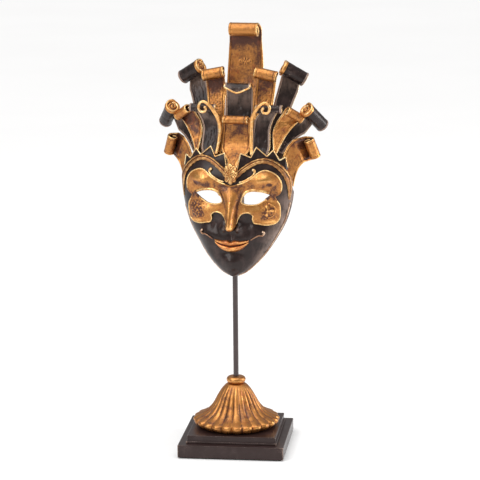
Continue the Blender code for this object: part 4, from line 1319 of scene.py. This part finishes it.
class MaskFaceSettings(bpy.types.PropertyGroup):
    """Sizes of the mask's trim."""
    piping: FloatProperty(name="Piping", description="Radius of the half mask's raised cords", default=0.0008,
                          min=0.0004, max=0.003, unit="LENGTH")
    bead: FloatProperty(name="Ribbon Bead", description="Size of the bead on the ribbons' edges",
                        default=0.001, min=0.0003, max=0.003, unit="LENGTH")
    tooling: FloatProperty(name="Tooling Depth", description="Depth of the tooled pattern on the ribbons",
                           default=0.00032, min=0.0, max=0.001, unit="LENGTH")
    edging: FloatProperty(name="Edging", description="Radius of the gilt line on the ribbons' edges",
                          default=0.0006, min=0.0003, max=0.002, unit="LENGTH")


class MaskFinishSettings(bpy.types.PropertyGroup):
    """Colours of the gilding and the lacquer."""
    gilt_dark: FloatVectorProperty(name="Gilt Hollows", description="Gold in the hollows", subtype="COLOR",
                                   default=(0.085, 0.024, 0.010), min=0, max=1)
    gilt_mid: FloatVectorProperty(name="Gilt", description="The gold's main colour", subtype="COLOR",
                                  default=(0.50, 0.205, 0.050), min=0, max=1)
    gilt_light: FloatVectorProperty(name="Gilt Heights", description="Gold where it is rubbed bright",
                                    subtype="COLOR", default=(0.92, 0.48, 0.15), min=0, max=1)
    lacquer: FloatVectorProperty(name="Lacquer", description="The black's main colour", subtype="COLOR",
                                 default=(0.017, 0.0098, 0.0092), min=0, max=1)
    bloom: FloatVectorProperty(name="Bloom", description="The black where it has gone cloudy",
                               subtype="COLOR", default=(0.056, 0.034, 0.031), min=0, max=1)
    worn: FloatVectorProperty(name="Worn Edge", description="What shows where the black is rubbed through",
                              subtype="COLOR", default=(0.36, 0.25, 0.20), min=0, max=1)


class MaskStageSettings(bpy.types.PropertyGroup):
    """The studio round the object."""
    floor: FloatVectorProperty(name="Floor", description="Colour of the floor", subtype="COLOR",
                               default=(0.98, 0.98, 0.98), min=0, max=1)
    key: FloatProperty(name="Key Light", description="Power of the left light", default=11.0, min=0,
                       unit="POWER")
    fill: FloatProperty(name="Fill Light", description="Power of the right light", default=19.0, min=0,
                        unit="POWER")
    top: FloatProperty(name="Overhead", description="Strength of the soft light from above", default=2.1,
                       min=0)
    lens: FloatProperty(name="Lens", description="Focal length", default=150.0, min=10, unit="CAMERA")
    distance: FloatProperty(name="Distance", description="Camera to the object's middle", default=2.3936,
                            min=0.5, unit="LENGTH")
    azimuth: FloatProperty(name="Azimuth", description="Camera's turn to the right", default=radians(7.074),
                           unit="ROTATION")
    elevation: FloatProperty(name="Elevation", description="Camera's height above level",
                             default=radians(11.593), unit="ROTATION")
    roll: FloatProperty(name="Roll", description="Camera's tilt", default=radians(-0.5), unit="ROTATION")
    aside: FloatProperty(name="Aside", description="How far right of the axis the camera looks",
                         default=0.0062, unit="LENGTH")


# ------------------------------------------------------------------ operators

class MASK_OT_plinth(bpy.types.Operator):
    """Finish the plinth and the slab on it"""
    bl_idname = "mask.plinth"
    bl_label = "Plinth"

    def execute(self, context):
        worn = black_colours(context)[2]
        paint = lacquer("painted_wood", (0.028, 0.0145, 0.0135), (0.044, 0.027, 0.026), worn, 0.7, coat=0.45,
                        bumped=0.15, gloss=0.22)
        finish_piece(make_plinth(context), STAND, paint, ["plinth"], angle=30, reach=0.6)
        finish_piece(make_slab(context), STAND, paint, ["plinth_slab"], angle=30, reach=0.6)
        return {"FINISHED"}


class MASK_OT_foot(bpy.types.Operator):
    """Finish the fluted foot and its collar"""
    bl_idname = "mask.foot"
    bl_label = "Foot and Collar"

    def execute(self, context):
        paint = gilding(context, "gilt_foot")
        finish_piece(make_foot(), STAND, paint, ["fluted_foot"], angle=60, reach=2.0)
        bright = gilding(context, "gilt_half_mask")
        finish_piece(make_collar(), STAND, bright, ["collar"], angle=50)
        return {"FINISHED"}


class MASK_OT_rod(bpy.types.Operator):
    """Finish the rod"""
    bl_idname = "mask.rod"
    bl_label = "Rod"

    def execute(self, context):
        bloom, worn = black_colours(context)[1:]
        paint = lacquer("painted_steel", (0.034, 0.020, 0.020), bloom, worn, 0.3, coat=1.0)
        finish_piece(make_rod(), STAND, paint, ["rod"], angle=30, reach=0.2)
        return {"FINISHED"}


class MASK_OT_fittings(bpy.types.Operator):
    """Paint the fittings that keep their own shape"""
    bl_idname = "mask.fittings"
    bl_label = "Fittings"

    def execute(self, context):
        steel = fibrous("turned_steel", (0.36, 0.36, 0.37), (0.58, 0.58, 0.58), (1, 1, 8), 260, 0.32, 1.0)
        paints = {
            "felt_pad": fibrous("felt", (0.012, 0.022, 0.014), (0.045, 0.065, 0.045), (1, 1, 1), 900, 0.92,
                                bumped=0.8),
            "foot_washer": steel,
            "foot_nut": steel,
            "rod_cap": fibrous("nylon", (0.62, 0.61, 0.57), (0.80, 0.79, 0.74), (1, 1, 3), 180, 0.48,
                               bumped=0.1),
            "socket_tube": fibrous("drawn_brass", (0.42, 0.28, 0.10), (0.66, 0.48, 0.20), (1, 1, 0.05), 700,
                                   0.30, 1.0, 0.15),
            "socket_block": fibrous("bare_wood", (0.20, 0.11, 0.055), (0.46, 0.30, 0.17), (1, 1, 0.08), 260,
                                    0.66),
            "crown_panel": fibrous("grey_card", (0.10, 0.070, 0.055), (0.22, 0.165, 0.13), (0.3, 1, 1), 420,
                                   0.82, bumped=0.5),
        }
        for node, paint in paints.items():
            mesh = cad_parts[node].data
            mesh.materials.clear()
            mesh.materials.append(paint)
        return {"FINISHED"}


class MASK_OT_face(bpy.types.Operator):
    """Model the black face"""
    bl_idname = "mask.face"
    bl_label = "Face"

    def execute(self, context):
        finish_piece(make_shell(), MASK, black_mask(context), ["mask_shell"], angle=45,
                     reach=1.2)
        finish_piece(make_jaw_rim(0.95), MASK, gilding(context, "gilt_old"), angle=80)
        return {"FINISHED"}


class MASK_OT_half_mask(bpy.types.Operator):
    """Model the gilded half mask, its piping and the lips"""
    bl_idname = "mask.half_mask"
    bl_label = "Half Mask and Lips"

    def execute(self, context):
        paint = gilding(context, "gilt_half_mask")
        size = context.scene.mask_face
        finish_piece(make_half_mask(), MASK, paint, ["half_mask"], angle=50, reach=1.4)
        edge = gilding(context, "gilt_edge")
        finish_piece(make_half_mask_piping(size.piping / MM), MASK, edge, angle=80)
        finish_piece(make_lips(), MASK, gilding(context, "gilt_lips"), ["lips"], angle=70, reach=1.5)
        return {"FINISHED"}


class MASK_OT_brow(bpy.types.Operator):
    """Model the brow band, the saw-tooth collar and the rosette"""
    bl_idname = "mask.brow"
    bl_label = "Brow, Teeth and Rosette"

    def execute(self, context):
        finish_piece(make_brow_band(), MASK, gilding(context, "gilt_band"), ["brow_band"], angle=60)
        finish_piece(make_teeth(), MASK, black_ribbon(context), ["saw_tooth_collar"],
                     angle=40)
        finish_piece(make_teeth_cord(0.75), MASK, gilding(context, "gilt_piping"), angle=80)
        edge = gilding(context, "gilt_edge")
        finish_piece(make_rosette(), MASK, edge, ["rosette"], angle=70, reach=2.2)
        return {"FINISHED"}


class MASK_OT_ribbons(bpy.types.Operator):
    """Model the crown's ribbons"""
    bl_idname = "mask.ribbons"
    bl_label = "Ribbons"

    def execute(self, context):
        size = context.scene.mask_face
        looks = {"gold": ("gilt_papier_mache", gilding(context, "gilt_ribbon")),
                 "black": ("black_papier_mache", black_ribbon(context))}
        jobs = [(row, 1, "") for row in CROWN]
        jobs += [(row, side, tag) for row in FAN for side, tag in ((-1, "_L"), (1, "_R"))]
        for (name, kind, *shape), side, tag in jobs:
            if name in GILDED_ENDS:
                shape[4] += 0.5
                shape[6] *= 0.7
            slot, paint = looks[kind]
            paint = gilding(context, "gilt_crest") if name == "crest_ribbon" else paint
            obj = make_ribbon(name + tag, kind, side, *shape, size.bead / MM, size.tooling / MM)
            finish_piece(obj, MASK, paint, [name + tag], angle=50, reach=1.3 if kind == "gold" else 2.0)
            bright = name in BRIGHT_EDGES
            thin = size.edging / MM * (1.9 if name in TONGUES else 1.3 if bright else 0.75)
            showy = name in GILDED_ENDS or name in TONGUES or name == "crest_ribbon"
            thick = size.edging / MM * (2.2 if showy else 1.4)
            edging = ribbon_edging(name + tag, side, *shape, thin, thick)
            paint = gilding(context, "gilt_piping" if bright or name in GILDED_ENDS else "gilt_edge")
            finish_piece(edging, MASK, paint, angle=80)
            if name in GILDED_ENDS:
                finish_piece(make_roll_end(name + tag, side, *shape[1:5]), MASK,
                             gilding(context, "gilt_ribbon"), angle=60)
        return {"FINISHED"}


class MASK_OT_scrolls(bpy.types.Operator):
    """Model the volutes and the scroll lines of the brow and cheeks"""
    bl_idname = "mask.scrolls"
    bl_label = "Scrolls"

    def execute(self, context):
        paint = gilding(context, "gilt_piping")
        for side, tag in ((-1, "_L"), (1, "_R")):
            path = smooth_path([(side * x, y, z) for x, y, z in VOLUTE], 6)
            obj = cord("volute_finish" + tag, path, volute_radius, 12)
            finish_piece(obj, MASK, paint, ["volute_cord" + tag], angle=80)
            for name, line in (("brow_scroll", BROW_LINE), ("cheek_scroll", CHEEK_LINE)):
                rows = smooth_path(line, 6)
                path = [(side * x, float(laid_y(side * x, z, LAY + 1.3)), z) for x, z in rows]
                cheek = name == "cheek_scroll"
                thin = 0.7 if cheek else 0.95
                obj = cord(name + "_finish" + tag, path, lambda f: thin + 0.9 * f ** 3, 10,
                           soiling_and_painted_light=lambda f: 1.0 - 1.3 * f if cheek else 0.0)
                look = gilding(context, "gilt_old") if cheek else paint
                finish_piece(obj, MASK, look, [name + tag], angle=80)
        return {"FINISHED"}


class MASK_OT_stage(bpy.types.Operator):
    """Set up the floor, the lights and the camera"""
    bl_idname = "mask.stage"
    bl_label = "Stage"

    def execute(self, context):
        stage = context.scene.mask_stage
        clear_selection()
        bpy.ops.mesh.primitive_circle_add(vertices=96, radius=20, fill_type="NGON",
                                          location=(0, 0, FRAME_LOW.z))
        floor = bpy.context.object
        floor.name = "floor"
        material, tree, shader, place = new_material("floor")
        mottle = span(tree, noise_value(tree, place, 1.5), 0.3, 0.7)
        pale = tuple(stage.floor)
        duller = tuple(c * 0.985 for c in pale)
        feed(tree, shader.inputs["Base Color"], blend_colour(tree, mottle, pale, duller))
        shader.inputs["Roughness"].default_value = 0.9
        shader.inputs["Specular IOR Level"].default_value = 0.1
        floor.data.materials.append(material)

        world = bpy.data.worlds.new("studio")
        context.scene.world = world
        world.use_nodes = True
        tree = world.node_tree
        soft = tree.nodes["Background"]
        soft.inputs["Color"].default_value = (1.0, 0.99, 0.98, 1)
        soft.inputs["Strength"].default_value = SKY_LIGHT
        seen = add_node(tree, "ShaderNodeBackground", {"Color": (SKY_SEEN,) * 3, "Strength": 1.0})
        path = tree.nodes.new("ShaderNodeLightPath")
        mix = tree.nodes.new("ShaderNodeMixShader")
        tree.links.new(path.outputs["Is Camera Ray"], mix.inputs[0])
        tree.links.new(soft.outputs[0], mix.inputs[1])
        tree.links.new(seen.outputs[0], mix.inputs[2])
        tree.links.new(mix.outputs[0], tree.nodes["World Output"].inputs["Surface"])

        middle = Vector((0, 0, FRAME_HIGH.z * 0.6))
        for name, power, size, place in (("key", stage.key, 0.8, (-1.2, -1.4, 1.3)),
                                         ("fill", stage.fill, 0.8, (1.8, 0.25, 0.75))):
            bpy.ops.object.light_add(type="AREA", location=place)
            light = bpy.context.object
            light.name = name
            light.data.energy = power
            light.data.shape = "RECTANGLE"
            light.data.size = size
            light.data.size_y = size * 1.6
            light.rotation_euler = (middle - light.location).to_track_quat("-Z", "Y").to_euler()
        bpy.ops.object.light_add(type="SUN", location=(0, 0, 2), rotation=(radians(14), radians(-8), 0))
        sky = bpy.context.object
        sky.name = "overhead"
        sky.data.energy = stage.top
        sky.data.angle = radians(70)

        a, e = stage.azimuth, stage.elevation
        back = Vector((sin(a) * cos(e), -cos(a) * cos(e), sin(e)))
        right = Vector((cos(a), sin(a), 0))
        up = back.cross(right)
        c, s = cos(stage.roll), sin(stage.roll)
        camera_right, camera_up = right * c + up * s, up * c - right * s
        target = Vector((0, 0, FRAME_HIGH.z / 2)) + right * stage.aside
        bpy.ops.object.camera_add(location=target + back * stage.distance)
        camera = bpy.context.object
        camera.name = "camera"
        camera.rotation_euler = Matrix((camera_right, camera_up, back)).transposed().to_euler()
        camera.data.lens = stage.lens
        camera.data.sensor_width = 36
        context.scene.camera = camera
        context.scene.view_settings.view_transform = "Standard"
        return {"FINISHED"}


OPERATORS = (MASK_OT_plinth, MASK_OT_foot, MASK_OT_rod, MASK_OT_fittings, MASK_OT_face, MASK_OT_half_mask,
             MASK_OT_brow, MASK_OT_ribbons, MASK_OT_scrolls, MASK_OT_stage)
SETTINGS = {"mask_stand": MaskStandSettings, "mask_face": MaskFaceSettings,
            "mask_finish": MaskFinishSettings, "mask_stage": MaskStageSettings}


class MASK_PT_panel(bpy.types.Panel):
    """Buttons and settings for the mask"""
    bl_idname = "MASK_PT_panel"
    bl_label = "Carnival Mask"
    bl_space_type = "VIEW_3D"
    bl_region_type = "UI"
    bl_category = "Mask"

    def draw(self, context):
        for operator in OPERATORS:
            self.layout.operator(operator.bl_idname)
        for name, group in SETTINGS.items():
            box = self.layout.box()
            for key in group.__annotations__:
                box.prop(getattr(context.scene, name), key)


def register():
    for group in SETTINGS.values():
        bpy.utils.register_class(group)
    for name, group in SETTINGS.items():
        setattr(bpy.types.Scene, name, PointerProperty(type=group))
    for cls in (*OPERATORS, MASK_PT_panel):
        bpy.utils.register_class(cls)


def unregister():
    for cls in (MASK_PT_panel, *reversed(OPERATORS)):
        bpy.utils.unregister_class(cls)
    for name in SETTINGS:
        delattr(bpy.types.Scene, name)
    for group in SETTINGS.values():
        bpy.utils.unregister_class(group)


def main():
    register()
    for operator in OPERATORS:
        group, name = operator.bl_idname.split(".")
        getattr(getattr(bpy.ops, group), name)()
    clear_selection()


if __name__ == "__main__":
    main()
